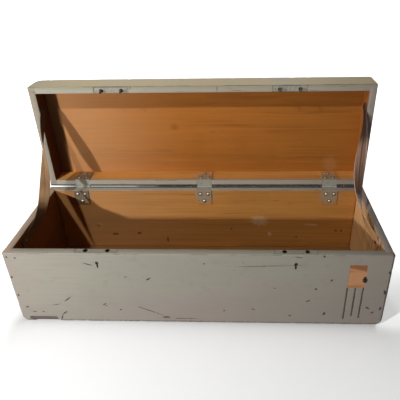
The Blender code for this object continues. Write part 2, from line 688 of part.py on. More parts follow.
def build_trunk():
    finishes = {
        "paint": make_finish("grey_paint", (0.285, 0.270, 0.225), 0.65),
        "wood": make_finish("bare_wood", (0.300, 0.125, 0.045), 0.70),
        "hinge": make_finish("hinge_iron", (0.200, 0.180, 0.150), 0.55, 0.8),
        "lock": make_finish("lock_iron", (0.160, 0.150, 0.135), 0.55, 0.8),
        "steel": make_finish("screw_steel", (0.330, 0.300, 0.250), 0.40, 0.9),
        "strap": make_finish("strap_leather", (0.240, 0.140, 0.070), 0.70),
    }
    wood = [finishes["paint"], finishes["wood"]]
    lid_axis = bpy.data.objects.new("lid_hinge_axis", None)
    bpy.context.scene.collection.objects.link(lid_axis)
    lid_axis.location = (0.0, AXIS_Y, AXIS_Z)
    lid_axis.rotation_euler = (-OPEN_ANGLE, 0.0, 0.0)
    hang = (0.0, -AXIS_Y, -AXIS_Z)
    box = {"edge": 0.0, "rim": BOX_HEIGHT, "panel": BOTTOM, "finishes": wood, "parent": None, "location": (0, 0, 0)}
    lid = {"edge": LID_HIGH, "rim": LID_LOW, "panel": LID_TOP, "finishes": wood, "parent": lid_axis, "location": hang}
    box_radii = (BOX_ROUND_LEFT, BOX_ROUND_RIGHT)
    lid_radii = (LID_ROUND_LEFT, LID_ROUND_RIGHT)
    box_front = long_board("box_front", FRONT, FRONT + BOARD, radii=box_radii, **box)
    box_back = long_board("box_back", BACK, BACK - BOARD, radii=box_radii, **box)
    lid_front = long_board("lid_front", FRONT, FRONT + BOARD, radii=lid_radii, **lid)
    lid_back = long_board("lid_back", BACK, BACK - BOARD, radii=lid_radii, **lid)
    ends = {}
    for label, number in (("left", 0), ("right", 1)):
        box_end = end_board(f"box_{label}_end", outward_sign(label), radius=box_radii[number], **box)
        lid_end = end_board(f"lid_{label}_end", outward_sign(label), radius=lid_radii[number], **lid)
        ends[label] = (box_end, lid_end)
    panel_board("box_bottom", 0.0, 1.0, box_radii, BOTTOM, wood, None, (0, 0, 0))
    panel_board("lid_top", LID_HIGH, -1.0, lid_radii, LID_TOP, wood, lid_axis, hang)
    for label, place in (("left", -HINGE_END_PLACE), ("middle", 0.0), ("right", HINGE_END_PLACE)):
        build_hinge(label, place, box_back, lid_back, lid_axis, finishes)
    for label, place in (("left", -LOCK_PLACE), ("right", LOCK_PLACE)):
        build_lock(label, place, box_front, lid_front, lid_axis, hang, finishes)
    for label, (box_end, lid_end) in ends.items():
        build_strap(label, box_end, lid_end, lid_axis, hang, finishes)


clear_scene()
build_trunk()
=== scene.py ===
"""A long grey-painted wooden trunk, its lid open: worn boards, hinges, screws and leather straps."""

import json
import math

import bmesh
import bpy
import numpy as np
from mathutils import Matrix, Vector

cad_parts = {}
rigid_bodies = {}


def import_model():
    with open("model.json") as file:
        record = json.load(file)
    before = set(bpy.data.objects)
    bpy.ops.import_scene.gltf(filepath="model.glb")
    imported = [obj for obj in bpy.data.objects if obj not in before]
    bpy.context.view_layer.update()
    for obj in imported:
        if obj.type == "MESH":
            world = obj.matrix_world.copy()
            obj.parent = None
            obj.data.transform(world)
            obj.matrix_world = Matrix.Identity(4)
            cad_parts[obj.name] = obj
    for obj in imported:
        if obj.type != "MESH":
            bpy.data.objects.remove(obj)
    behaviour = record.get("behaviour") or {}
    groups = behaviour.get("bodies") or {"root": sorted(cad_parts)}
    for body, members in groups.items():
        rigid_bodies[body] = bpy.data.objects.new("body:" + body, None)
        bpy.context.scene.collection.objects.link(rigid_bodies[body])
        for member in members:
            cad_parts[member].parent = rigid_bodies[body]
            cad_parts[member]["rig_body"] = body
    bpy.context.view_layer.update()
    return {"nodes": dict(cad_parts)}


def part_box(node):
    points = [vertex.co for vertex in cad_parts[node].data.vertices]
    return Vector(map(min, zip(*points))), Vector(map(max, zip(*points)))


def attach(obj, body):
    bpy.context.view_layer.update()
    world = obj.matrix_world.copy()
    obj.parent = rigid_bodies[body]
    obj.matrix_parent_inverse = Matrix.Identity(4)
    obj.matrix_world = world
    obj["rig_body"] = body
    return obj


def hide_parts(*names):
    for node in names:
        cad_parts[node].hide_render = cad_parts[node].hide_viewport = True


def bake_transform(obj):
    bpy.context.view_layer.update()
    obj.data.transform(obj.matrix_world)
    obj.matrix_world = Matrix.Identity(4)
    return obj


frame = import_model()

MM = 0.001
X, Y, Z = 0, 1, 2


def metres(*lengths):
    """Lengths given in millimetres, as metres."""
    return tuple(length * MM for length in lengths)


# From the frame: the rims of box and lid, the outer face of the lid's front, and the middle of the gap
# between the box's back and the lid's back, as Y and Z
BOX_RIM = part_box("box_front")[1][Z]
LID_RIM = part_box("lid_front")[0][Y]
LID_FRONT_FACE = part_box("lid_front")[1][Z]
HINGE_GAP = [(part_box("box_back")[1][axis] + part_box("lid_back")[0][axis]) / 2 for axis in (Y, Z)]

# Board edges: rounding of outer, inner and hinge edges, and how the worn skin sits inside the solid
OUTER_EDGE = 1.5 * MM
INNER_EDGE = 0.8 * MM
HINGE_EDGE = 0.4 * MM
SKIN_INSET = 0.05 * MM
NEAR_SHARE = 0.45
EDGE_STEPS = MM * np.array((0.0, 0.25, 0.6, 1.1, 1.8, 2.8, 4.2, 6.2, 9.0, 12.5, 16.0, 20.0))
GRID_STEP = 5 * MM

# Points closer than this are one: of a new piece, and of a solid's loose triangles
MERGE_WITHIN = 1e-6
SOLID_MERGE_WITHIN = 2e-6

# Angles in degrees below which edges are shaded smooth
BOARD_SMOOTH = 32
SCREW_SMOOTH = 38
STRAP_SMOOTH = 50

# Numbers of a face's edges at the two ends of its second axis
V_LOW, V_HIGH = 2, 3

# Wander of the edges: range of wavelengths in mm, how many there are, and its share of the rounding
WANDER_WAVES = (20, 250)
WANDER_COUNT = 6
WANDER_SHARE = 0.5

# Chips: spacing, range of half lengths in mm, shape and scale in mm of their depths, their share inside,
# the depth that is worn through, and the most of the thickness that wear takes outside and inside
CHIP_SPACING = 0.035
CHIP_HALVES = (1.5, 7.0)
CHIP_DEPTHS = (1.4, 0.8)
INNER_CHIP_SHARE = 0.3
WORN_THROUGH = 0.8 * MM
OUTER_WEAR_LIMIT = 0.96
INNER_WEAR_LIMIT = 0.03

# How many chips the rims, the edges across from them and the other two edges have
RIM_CHIPS = 0.12
FOOT_CHIPS = 1.5
SIDE_CHIPS = 1.5

# Seeds of the boards and of the screws, and how far apart the boards' patterns are taken
FIRST_SEED = 3
SCREW_SEED = 5
PATTERN_STEP = 11.0
BOTTOM_PATTERN = 77.0

# The strip split off under the front board: start, stop, height, depth and width of its sloping sides
SPLIT_START = -480 * MM
SPLIT_STOP = -400 * MM
SPLIT_HEIGHT = 15 * MM
SPLIT_DEPTH = 3.5 * MM
SPLIT_RAMP = 2.5 * MM

# In-plane rounding of the trunk's corners as on the solids, and how much more the worn boards have
ROUND_MARGIN = 0.6 * MM
BOX_ROUND = {"left": 16 * MM, "right": 18 * MM}
LID_ROUND = {"left": 24 * MM, "right": 10 * MM}

# Places of the hinges and locks along the trunk and of the staples' holes and roots, and the width of the
# dark outline of the plates
HINGE_PLACES = (-0.395, 0.0, 0.395)
LOCK_PLACES = {"left": -0.256, "right": 0.256}
STAPLE_OFFSET = 29 * MM
STAPLE_HOLE_Y = -152 * MM
STAPLE_ROOT_Z = 562 * MM
PLATE_OUTLINE = 0.9 * MM

# Round head and slot of a keyhole: height of the middle, and half sizes
KEYHOLE_HEAD = (211 * MM, metres(4.2, 4.4))
KEYHOLE_SLOT = (203 * MM, metres(2.4, 8.0))

# Paint smeared round the hinge leaves on the box and on the lid: middle, and half sizes
BOX_LEAF_SMEAR = (222 * MM, metres(27, 27))
LID_LEAF_SMEAR = (184 * MM, metres(27, 24))

# Screw heads: radius, height and fullness of a domed and of a flat one, the crown's power, the slot with
# the most of the crown's height that it takes, the sink and the grid
DOME_HEAD = (4.4 * MM, 2.8 * MM, 0.6)
FLAT_HEAD = (3.6 * MM, 0.35 * MM, 0.5)
CROWN_POWER = 2.4
SLOT_WIDTH = 0.9 * MM
SLOT_DEPTH = 1.1 * MM
SLOT_SHARE = 0.8
HEAD_SINK = 0.25 * MM
SCREW_ROWS = 9
SCREW_COLUMNS = 15

# The screw in the middle of each lid plate
MIDDLE_SCREW_INSET = 0.1 * MM
MIDDLE_SCREW_HEIGHT = 564 * MM
MIDDLE_SCREW_TURN = 0.8

# Leather straps: ends, bow, sag and twist are those of the solids
STRAP_SIDES = {"left": -1, "right": 1}
STRAP_WIDTH = 30 * MM
STRAP_THICK = 2.6 * MM
STRAP_TAB = 16 * MM
STRAP_FLAT = 8 * MM
STRAP_CORNER = 6 * MM
STRAP_BOX_END = (0.4784, -0.080, 0.216)
STRAP_LID_END = (0.4784, 0.188, 0.4945)
STRAP_BOW = {"left": 12 * MM, "right": 27 * MM}
STRAP_SAG = {"left": 48 * MM, "right": 34 * MM}
STRAP_BOW_EASE = 0.03
STRAP_TWIST = {"left": 0.48, "right": 0.52}
STRAP_TWIST_HALF = 0.48
STRAP_STATIONS = 150
STRAP_END_STATIONS = 9
STRAP_COLUMNS = 41
STRAP_LAST_COLUMN = 0.985
PEAK_SCALE = 27 / 4

# A strap's section, across from -1 to 1: where its edge starts to thin and by how much, and its crease
STRAP_EDGE_FROM = 0.9
STRAP_EDGE_THINNED = 0.7
STRAP_CREASE = 0.3 * MM
STRAP_CREASE_PLACE = 0.80
STRAP_CREASE_HALF = 0.035

# Painted light and shade along a strap, in metres from the lower screw: the foot (painted shade on the left,
# painted light on the right), a painted lit part on the left, and the head in painted shade
STRAP_FOOT_REACH = {"left": 0.12, "right": 0.10}
STRAP_FOOT_FADE = {"left": 0.03, "right": 0.05}
STRAP_LIT_SHARE = {"left": 0.6, "right": 0.0}
STRAP_LIT_REACH = (0.175, 0.125)
STRAP_HEAD_REACH = (0.27, 0.31)

# Camera: place, turns in degrees, focal length and middle of view in pixels of a 400-pixel frame
FRAME_PIXELS = 400
CAMERA_PLACE = (0.119, -1.011, 0.950)
CAMERA_YAW = -2.71
CAMERA_PITCH = 28.52
CAMERA_ROLL = -1.40
FOCAL_PIXELS = 429.8
VIEW_MIDDLE = (223.88, 168.13)
SENSOR = 36.0

# Lamps: name, place, aim, width, watts and the angle in degrees that the light fans out by
LAMPS = (
    ("key_lamp", (-1.494, -1.445, 0.723), (0.0, 0.0, 0.25), 0.07, 26.0, 180.0),
    ("high_lamp", (-1.23, -1.33, 2.30), (0.0, 0.0, 0.25), 0.12, 28.0, 180.0),
    ("rear_right_lamp", (2.2, 1.8, 0.06), (0.0, 0.2, 0.25), 0.09, 24.0, 180.0),
    ("rear_left_lamp", (-1.7, 2.5, 0.06), (0.0, 0.2, 0.25), 0.09, 24.0, 180.0),
    ("top_left_lamp", (-0.39, 1.6, 1.9), (-0.39, 0.2, 0.575), 0.15, 0.85, 36.0),
    ("top_right_lamp", (0.25, 1.6, 1.9), (0.25, 0.2, 0.575), 0.15, 0.60, 36.0),
)

# The floor: its half size, and the trunk's foot as the glow sees it
FLOOR_HALF = 9.0
FOOT_LEFT = -0.5
FOOT_RIGHT = 0.484
FOOT_HALF_DEPTH = 0.165

# Glow of the floor: level, what the open floor and the right end add to it, and the length it fades in
# towards the trunk's foot, painting a contact shadow there
GLOW_LEVEL = 0.44
GLOW_OPEN = 0.75
GLOW_RIGHT = 0.10
GLOW_FADE = 30 * MM
GLOW_FADE_RIGHT = 1.5 * MM

# Steps of the glow, from and to: the open floor to the right, behind and far away; past the right end; and
# where the glow comes back round the painted shadow behind the trunk: to the left, to the right, behind and
# in front
OPEN_RIGHT = (0.56, 0.80)
OPEN_BEHIND = (-0.10, 0.25)
OPEN_AWAY = (0.6, 1.3)
PAST_RIGHT_X = (0.478, 0.486)
PAST_RIGHT_Y = (-0.21, -0.16)
CLEAR_LEFT = (-0.60, -0.72)
CLEAR_RIGHT = (0.605, 0.635)
CLEAR_BEHIND = (0.75, 1.9)
CLEAR_FRONT = (0.17, 0.10)

# Light of the room, as a share of white, and the gloss of the boards and of the lid's smoother front
ROOM_LIGHT = 0.015
BOARD_GLOSS = 0.12
LID_FRONT_GLOSS = 0.3

# Marks on the front: middle X and Z, half length and half height in mm, and turn in degrees
FRONT_SCRATCHES = (
    (-392, 62, 11, 1.0, 12),
    (-357, 83, 13, 1.6, 40),
    (-376, 30, 9, 1.8, 40),
    (-386, 14, 11, 1.6, 68),
    (-127, 158, 7, 2.2, 28),
    (-188, 164, 3, 1.6, 0),
    (-136, 43, 38, 1.2, -25),
    (-92, 18, 9, 3.2, 0),
    (-40, 14, 30, 1.0, 0),
    (-258, 65, 6, 1.6, 35),
    (-215, 45, 3, 2.0, 0),
    (-255, 60, 3, 1.4, 0),
    (-284, 208, 14, 1.2, -18),
    (22, 211, 3, 1.4, 0),
    (180, 205, 90, 0.8, 2),
    (70, 46, 2, 3.0, 0),
    (149, 53, 5, 1.6, -20),
    (351, 160, 2.4, 4.0, -20),
    (313, 129, 3, 3.0, 0),
    (295, 85, 6, 2.0, 20),
    (262, 234, 10, 1.0, -8),
    (326, 238, 2.4, 3.0, 0),
    (342, 38, 3, 5.0, 0),
    (470, 45, 5, 3.0, 30),
    (-491, 229, 3.0, 3.0, 0),
    (-468, 226, 2.4, 2.4, 0),
    (250, 30, 3, 2.0, 0),
    (205, 130, 2.4, 1.6, 0),
    (495, 186, 3, 5.0, 0),
    (493, 118, 3, 7.0, 10),
    (489, 62, 3, 6.0, 0),
    (455, 62, 7, 2.2, -40),
    (-494, 160, 2.6, 4.0, 0),
    (-492, 96, 2.4, 4.0, 0),
    (-478, 52, 4, 2.4, 0),
    (-462, 34, 6, 2.4, 0),
    (-436, 34, 3, 2.0, 0),
)

# Darkening of the front, from and to: its foot in Z, by wear and a painted contact shadow, and its worn
# right edge in X
FRONT_DARK_FOOT = metres(6, 1)
FRONT_WORN_EDGE = metres(494.5, 496.5)

# The bare patch on the front: two corners, the slope and reach of its darker band, a blot (middle and half
# sizes), and the runs below it (X and lowest Z)
PATCH_LOW = metres(393, 134)
PATCH_HIGH = metres(437, 210)
PATCH_BAND_SLOPE = 0.28
PATCH_BAND = metres(308, 315)
PATCH_BLOT = (metres(436, 161), metres(6, 9))
PATCH_RUNS = (metres(394, 20), metres(415, 32), metres(435, 24))
RUN_HALF = 2 * MM

# The dark line across the lid's front rim: middle and half sizes
RIM_LINE = (metres(49, 564), metres(1, 8))

# Scuffs inside the back: middle X and Z, half sizes in mm, turn in degrees, strength
WALL_SCUFFS = (
    (177, 124, 27, 17, -4, 0.70),
    (211, 72, 5, 8, 20, 0.90),
    (346, 110, 22, 4, -4, 0.65),
    (-354, 110, 9, 3, 0, 0.35),
)

# Dents inside the back: middle X and Z, half sizes in mm, turn in degrees
WALL_DENTS = (
    (-306, 69, 10, 4, 0),
    (-131, 47, 3, 11, 0),
    (-225, 72, 6, 4, 0),
    (-360, 103, 4, 3, 0),
    (445, 86, 4, 4, 0),
    (427, 86, 4, 3, 0),
    (85, 92, 3, 3, 0),
    (300, 60, 3, 3, 0),
)

# Inside the lid's panel: lower edge in Z of a painted shadow band at the top; a smear and a knot (middle,
# half sizes, turn)
TOP_SHADOW_EDGE = metres(486, 488)
PANEL_SMEAR = (metres(402, 292), metres(22, 26), 20.0)
PANEL_KNOT = (metres(-92, 424), metres(13, 8), 0.0)

# Further than any two points of the trunk are apart
FAR_AWAY = 9.0

# Shares of its colour that a wood's light, middle, dark and line shades have
WOOD_SHARES = (1.15, 1.0, 0.82, 0.55)


def srgb(red, green, blue):
    """The linear colour of a screen colour given from 0 to 255."""
    share = np.array((red, green, blue)) / 255
    linear = np.where(share <= 0.04045, share / 12.92, ((share + 0.055) / 1.055) ** 2.4)
    return (*linear.tolist(), 1.0)


def wood_shades(red, green, blue):
    """Light, middle, dark and line shades of a wood, as shares of its linear colour."""
    base = np.array(srgb(red, green, blue)[:3])
    return [(*(share * base).tolist(), 1.0) for share in WOOD_SHARES]


PAINT = srgb(164, 161, 147)
PAINT_WARM = srgb(160, 147, 138)
PAINT_DULL = srgb(149, 144, 131)
PAINT_RIM = srgb(188, 182, 163)
PAINT_GRIME = srgb(98, 89, 77)
PAINT_TOP_WARM_LIGHT = srgb(172, 154, 115)
PAINT_PURPLE = srgb(156, 146, 138)
RIM_WARM = srgb(206, 170, 146)
RIM_WORN = srgb(146, 132, 118)
RIM_OLIVE = srgb(138, 134, 104)
DARK_CHIP_AND_SHADE = srgb(52, 42, 34)
CHIP_WOOD = srgb(116, 88, 62)
SPLIT_GREY = srgb(98, 90, 84)
BARE_WOOD = srgb(200, 144, 102)
BARE_BAND = srgb(146, 90, 58)
RUN_DARK = srgb(62, 52, 38)
SMEAR = srgb(154, 144, 124)
SCUFF = srgb(208, 172, 128)
DIRT_AND_SHADE = srgb(58, 44, 32)
BLACK_SOOT_AND_SHADE = srgb(20, 17, 14)
IRON = srgb(66, 60, 55)
STEEL = srgb(206, 200, 188)
STEEL_DULL = srgb(150, 142, 128)
RUST = srgb(92, 74, 58)
IRON_DARK = srgb(52, 48, 45)
IRON_WORN = srgb(98, 88, 78)
LEATHER_EDGE = {"left": srgb(172, 138, 104), "right": srgb(214, 172, 148)}
LEATHER_TONE = {"left": srgb(158, 122, 84), "right": srgb(150, 117, 97)}
LEATHER_DARK = {"left": srgb(100, 72, 48), "right": srgb(74, 54, 42)}
# Pale leather for painted light where the left strap turns away from the lamp
LEATHER_LIT = srgb(222, 180, 136)
# Strap feet: painted shade on the left, painted light on the right; strap heads: painted shade
STRAP_FOOT_SHADING = {"left": srgb(44, 24, 14), "right": srgb(186, 142, 96)}
STRAP_HEAD_SHADE = {"left": srgb(38, 22, 13), "right": BLACK_SOOT_AND_SHADE}
FLOOR = srgb(236, 236, 236)

FRONT_WOOD = wood_shades(156, 112, 58)
BACK_WOOD = wood_shades(190, 131, 66)
PANEL_WOOD = wood_shades(176, 108, 43)
LEDGE_WOOD = wood_shades(216, 153, 80)
# Inner wood of the box's left end made dark: painted shade, as it faces away from the lamps
SHADED_LEFT_WOOD = wood_shades(124, 78, 40)
# Inner wood of the box's right end made pale: painted light on the wall that faces the lamps
LIT_RIGHT_WOOD = wood_shades(208, 163, 110)
# Inner wood of the lid's left end made dark: painted shade, as it faces away from the lamps
SHADED_LID_LEFT_WOOD = wood_shades(88, 48, 20)
LID_RIGHT_WOOD = wood_shades(160, 100, 46)
BOTTOM_WOOD = wood_shades(146, 104, 54)
# Paler wood for a painted sheen on the side towards the key lamp
SHEEN_PALE_WOOD = srgb(200, 146, 98)


class Finish:
    """One node material. Each method adds nodes and returns an output socket."""

    def __init__(self, name, roughness=0.6, metallic=0.0):
        self.material = bpy.data.materials.new(name)
        self.material.use_nodes = True
        self.tree = self.material.node_tree
        self.shader = self.tree.nodes["Principled BSDF"]
        self.shader.inputs["Roughness"].default_value = roughness
        self.shader.inputs["Metallic"].default_value = metallic
        self.place = self.node("TexCoord", {}).outputs["Object"]
        self.axes = self.node("SeparateXYZ", {0: self.place}).outputs
        self.x, self.y, self.z = self.axes

    def node(self, kind, inputs, **settings):
        """A shader node with its inputs linked or set."""
        made = self.tree.nodes.new("ShaderNode" + kind)
        for name, value in settings.items():
            setattr(made, name, value)
        for key, value in inputs.items():
            if isinstance(value, bpy.types.NodeSocket):
                self.tree.links.new(value, made.inputs[key])
            else:
                made.inputs[key].default_value = value
        return made

    def math(self, operation, first, second=0.0):
        """One operation on one or two values."""
        return self.node("Math", {0: first, 1: second}, operation=operation).outputs[0]

    def times(self, *parts):
        """The product of several values."""
        whole = parts[0]
        for part in parts[1:]:
            whole = self.math("MULTIPLY", whole, part)
        return whole

    def total(self, *parts):
        """The sum of several values."""
        whole = parts[0]
        for part in parts[1:]:
            whole = self.math("ADD", whole, part)
        return whole

    def less(self, first, second):
        """The first value less the second."""
        return self.math("SUBTRACT", first, second)

    def larger(self, first, second):
        """The larger of two values."""
        return self.math("MAXIMUM", first, second)

    def plus(self, value, *extra):
        """A value with the product of the others added."""
        return self.total(value, self.times(*extra))

    def rise(self, value, low, high):
        """A smooth step from 0 at low to 1 at high; low may be the larger."""
        reach = {1: min(low, high), 2: max(low, high), 3: float(low > high), 4: float(low < high)}
        return self.node("MapRange", {0: value, **reach}, interpolation_type="SMOOTHSTEP").outputs[0]

    def noise(self, stretch, detail=3.0, shift=0.0, place=None, bend=0.0):
        """Cloudy noise with so many features to the metre along each axis."""
        spot = {0: place or self.place, "Location": (shift, shift, shift), "Scale": stretch}
        vector = self.node("Mapping", spot).outputs[0]
        inputs = {"Vector": vector, "Scale": 1.0, "Detail": detail, "Distortion": bend}
        return self.node("TexNoise", inputs).outputs[0]

    def ragged(self, fineness, shift):
        """Noise about zero, for the edges of marks."""
        return self.less(self.noise((fineness,) * 3, 4.0, shift), 0.5)

    def mix(self, first, second, share):
        """From the first colour at a share of 0 to the second at 1."""
        return self.node("Mix", {0: share, 6: first, 7: second}, data_type="RGBA").outputs[2]

    def over(self, colour, tint, *shares):
        """A colour with a tint laid over it, by the product of the shares."""
        return self.mix(colour, tint, self.times(*shares))

    def nearest(self, points):
        """The distance to the nearest of several points."""
        least = FAR_AWAY
        for point in points:
            away = self.node("VectorMath", {0: self.place, 1: point}, operation="DISTANCE").outputs["Value"]
            least = self.math("MINIMUM", away, least)
        return least

    def patch(self, middle, half, turn, plane, ragged, soft=0.25):
        """An oval mark on a face: 1 inside, 0 outside, with a ragged edge.

        The share is a smooth step of sqrt(p^2 + q^2) about 1, where p and q are the turned offsets from
        the middle over the half sizes, plus noise."""
        along = self.less(self.axes[plane[0]], middle[0])
        over = self.less(self.axes[plane[1]], middle[1])
        cosine = math.cos(math.radians(turn))
        sine = math.sin(math.radians(turn))
        p = self.total(self.times(along, cosine / half[0]), self.times(over, sine / half[0]))
        q = self.total(self.times(over, cosine / half[1]), self.times(along, -sine / half[1]))
        reach = self.math("SQRT", self.total(self.times(p, p), self.times(q, q)))
        return self.rise(self.total(reach, ragged), 1.0 + soft, 1.0 - soft)

    def marks(self, rows, plane, ragged):
        """Several oval marks in one: each row is a middle, half sizes in mm and a turn in degrees."""
        share = 0.0
        for along, over, half_along, half_over, turn in rows:
            mark = self.patch(metres(along, over), metres(half_along, half_over), turn, plane, ragged)
            share = self.larger(mark, share)
        return share

    def field(self, low, high, plane, ragged, soft):
        """A ragged rectangle on a face: 1 inside, 0 outside."""
        share = 1.0
        for axis, start, end in zip(plane, low, high):
            spot = self.total(self.axes[axis], ragged)
            share = self.times(self.rise(spot, start - soft, start + soft), share)
            share = self.times(self.rise(spot, end + soft, end - soft), share)
        return share

    def done(self, colour, height, roughness=None, gloss=0.3):
        """Links the colour, a bump with its height in metres and a varying roughness, and sets the gloss."""
        self.shader.inputs["Specular IOR Level"].default_value = gloss
        self.tree.links.new(colour, self.shader.inputs["Base Color"])
        bump = self.node("Bump", {"Strength": 1.0, "Distance": 1.0, "Height": height})
        self.tree.links.new(bump.outputs[0], self.shader.inputs["Normal"])
        if roughness is not None:
            self.tree.links.new(roughness, self.shader.inputs["Roughness"])
        return self.material


def softwood(finish, wood, grain, shift):
    """Softwood in four shades: broad bands, streaks and, where it is figured, thin dark lines, all drawn out
    along the grain axis.

    Returns its colour and its height in metres."""

    def drawn(along, across):
        """Features to the metre along the grain and across it."""
        stretch = [across] * 3
        stretch[grain] = along
        return stretch

    light, middle, dark, line = wood
    bands = finish.noise(drawn(1.3, 16.0), 3.0, shift, bend=0.8)
    streaks = finish.noise(drawn(3.5, 170.0), 5.0, shift + 7.0)
    lines = finish.noise(drawn(4.0, 130.0), 3.0, shift + 13.0, bend=0.5)
    flecks = finish.noise(drawn(16.0, 190.0), 2.0, shift + 17.0)
    fibres = finish.noise(drawn(40.0, 900.0), 2.0, shift + 19.0)
    blotch = finish.noise((5.0, 5.0, 5.0), 4.0, shift + 23.0)
    figured = finish.rise(finish.noise(drawn(4.0, 14.0), 2.0, shift + 29.0), 0.40, 0.62)
    colour = finish.mix(dark, middle, finish.rise(bands, 0.28, 0.58))
    colour = finish.over(colour, light, finish.rise(streaks, 0.42, 0.68), 0.75)
    colour = finish.over(colour, line, finish.rise(lines, 0.54, 0.68), figured, 0.60)
    colour = finish.over(colour, line, finish.rise(flecks, 0.64, 0.74), figured, 0.55)
    colour = finish.over(colour, dark, finish.rise(blotch, 0.48, 0.75), 0.60)
    colour = finish.over(colour, line, finish.rise(fibres, 0.56, 0.80), 0.22)
    height = finish.total(finish.times(streaks, 0.10 * MM), finish.times(fibres, 0.05 * MM))
    return colour, height


def old_paint(finish, shift):
    """Brushed grey paint gone warm and dull in clouds, warmer to the right, with fine dirt and a few specks.

    Returns its colour and its height in metres."""
    clouds = finish.noise((2.6, 2.6, 5.0), 4.0, shift)
    brush = finish.noise((7.0, 7.0, 260.0), 3.0, shift + 5.0)
    dirt = finish.noise((38.0, 38.0, 38.0), 6.0, shift + 11.0)
    specks = finish.noise((210.0, 210.0, 210.0), 2.0, shift + 17.0)
    warm = finish.rise(finish.plus(clouds, finish.x, 0.25), 0.32, 0.62)
    colour = finish.mix(PAINT, PAINT_WARM, warm)
    colour = finish.over(colour, PAINT_DULL, finish.rise(clouds, 0.55, 0.35), 0.5)
    colour = finish.over(colour, PAINT_GRIME, finish.rise(dirt, 0.52, 0.80), 0.14)
    colour = finish.over(colour, PAINT_DULL, finish.rise(brush, 0.45, 0.75), 0.45)
    colour = finish.over(colour, DARK_CHIP_AND_SHADE, finish.rise(specks, 0.74, 0.80), 0.65)
    height = finish.total(finish.times(brush, 0.06 * MM), finish.times(dirt, 0.12 * MM))
    return colour, height


def front_marks(finish, colour, height):
    """The front's own marks: purple below, scratches, a foot darkened by wear and by a painted contact
    shadow, a worn right edge, a split strip, keyholes blackened as painted shade, a bare patch and three
    dark runs below it."""
    plane = (X, Z)
    ragged = finish.ragged(160.0, 31.0)
    clouds = finish.noise((4.0, 4.0, 6.0), 3.0, 83.0)
    low = finish.rise(finish.plus(finish.z, clouds, 0.40), 0.36, 0.22)
    colour = finish.over(colour, PAINT_PURPLE, low, 0.6)
    scratches = finish.marks(FRONT_SCRATCHES, plane, finish.times(ragged, 2.2))
    colour = finish.over(colour, DARK_CHIP_AND_SHADE, scratches, 0.85)
    # The foot darkened: worn paint and a painted contact shadow along the floor
    foot = finish.rise(finish.plus(finish.z, ragged, 8 * MM), *FRONT_DARK_FOOT)
    colour = finish.over(colour, DARK_CHIP_AND_SHADE, foot, 0.7)
    worn = finish.rise(finish.plus(finish.x, ragged, 5 * MM), *FRONT_WORN_EDGE)
    colour = finish.over(colour, DARK_CHIP_AND_SHADE, worn, 0.75)
    rough = finish.times(ragged, 2 * MM)
    split = finish.field((SPLIT_START, 0.0), (SPLIT_STOP, SPLIT_HEIGHT), plane, rough, MM)
    colour = finish.over(colour, SPLIT_GREY, split, 0.75)
    # Keyholes painted near black over and round their openings: painted shade in the holes
    holes = 0.0
    for place in LOCK_PLACES.values():
        for middle, half in (KEYHOLE_HEAD, KEYHOLE_SLOT):
            holes = finish.larger(finish.patch((place, middle), half, 0.0, plane, ragged), holes)
    colour = finish.over(colour, BLACK_SOOT_AND_SHADE, holes, 0.98)
    runs = 0.0
    wander = finish.times(ragged, 4.0 * MM)
    for x, low_z in PATCH_RUNS:
        run = finish.field((x - RUN_HALF, low_z), (x + RUN_HALF, PATCH_LOW[1]), plane, wander, 1.0 * MM)
        runs = finish.larger(run, runs)
    colour = finish.over(colour, RUN_DARK, runs, 0.88)
    wander = finish.times(ragged, 6.0 * MM)
    bare = finish.field(PATCH_LOW, PATCH_HIGH, plane, wander, 0.7 * MM)
    tilt = finish.total(finish.z, wander, finish.times(finish.x, PATCH_BAND_SLOPE))
    band = finish.rise(tilt, *PATCH_BAND)
    blot = finish.patch(*PATCH_BLOT, 0.0, plane, finish.times(ragged, 1.6))
    tone = finish.noise((9.0, 9.0, 60.0), 4.0, 37.0)
    wood = finish.over(BARE_WOOD, BARE_BAND, finish.rise(tone, 0.45, 0.75), 0.5)
    wood = finish.over(wood, BARE_BAND, band, 0.85)
    colour = finish.mix(colour, wood, bare)
    colour = finish.over(colour, BLACK_SOOT_AND_SHADE, blot, 0.97)
    hollow = finish.larger(bare, finish.larger(scratches, runs))
    return colour, finish.plus(height, hollow, -0.35 * MM)


def lid_front_marks(finish, colour, height):
    """On the lid's front: painted warm light on its outer face, a rim going darker olive towards its upper
    edge with a thin dark line across it, and a broken line along its outer edge."""
    # Painted light: the outer face, upward when the lid stands open, warmed and lightened as if lit from
    # above
    outer = finish.rise(finish.z, LID_FRONT_FACE - 3 * MM, LID_FRONT_FACE - 1 * MM)
    clouds = finish.noise((7.0, 30.0, 30.0), 4.0, 53.0)
    top_lit = finish.times(outer, finish.rise(clouds, 0.15, 0.55))
    colour = finish.over(colour, PAINT_TOP_WARM_LIGHT, top_lit, 0.90)
    rough = finish.times(finish.ragged(160.0, 59.0), 2.0)
    line = finish.patch(*RIM_LINE, 0.0, (X, Z), rough)
    on_rim = finish.rise(finish.y, LID_RIM + 2 * MM, LID_RIM + 1 * MM)
    # Darker olive towards the rim's upper edge
    olive_top = finish.rise(finish.z, LID_FRONT_FACE - 15 * MM, LID_FRONT_FACE - 1 * MM)
    colour = finish.over(colour, RIM_OLIVE, olive_top, on_rim, 0.5)
    colour = finish.over(colour, DARK_CHIP_AND_SHADE, line, on_rim, 0.8)
    broken = finish.rise(finish.noise((9.0, 60.0, 60.0), 3.0, 71.0), 0.46, 0.56)
    by_face = finish.rise(finish.z, LID_FRONT_FACE - 1.8 * MM, LID_FRONT_FACE - 0.8 * MM)
    by_rim = finish.rise(finish.y, LID_RIM + 2.4 * MM, LID_RIM + 1.4 * MM)
    return finish.over(colour, DARK_CHIP_AND_SHADE, by_face, by_rim, broken, 0.55), height


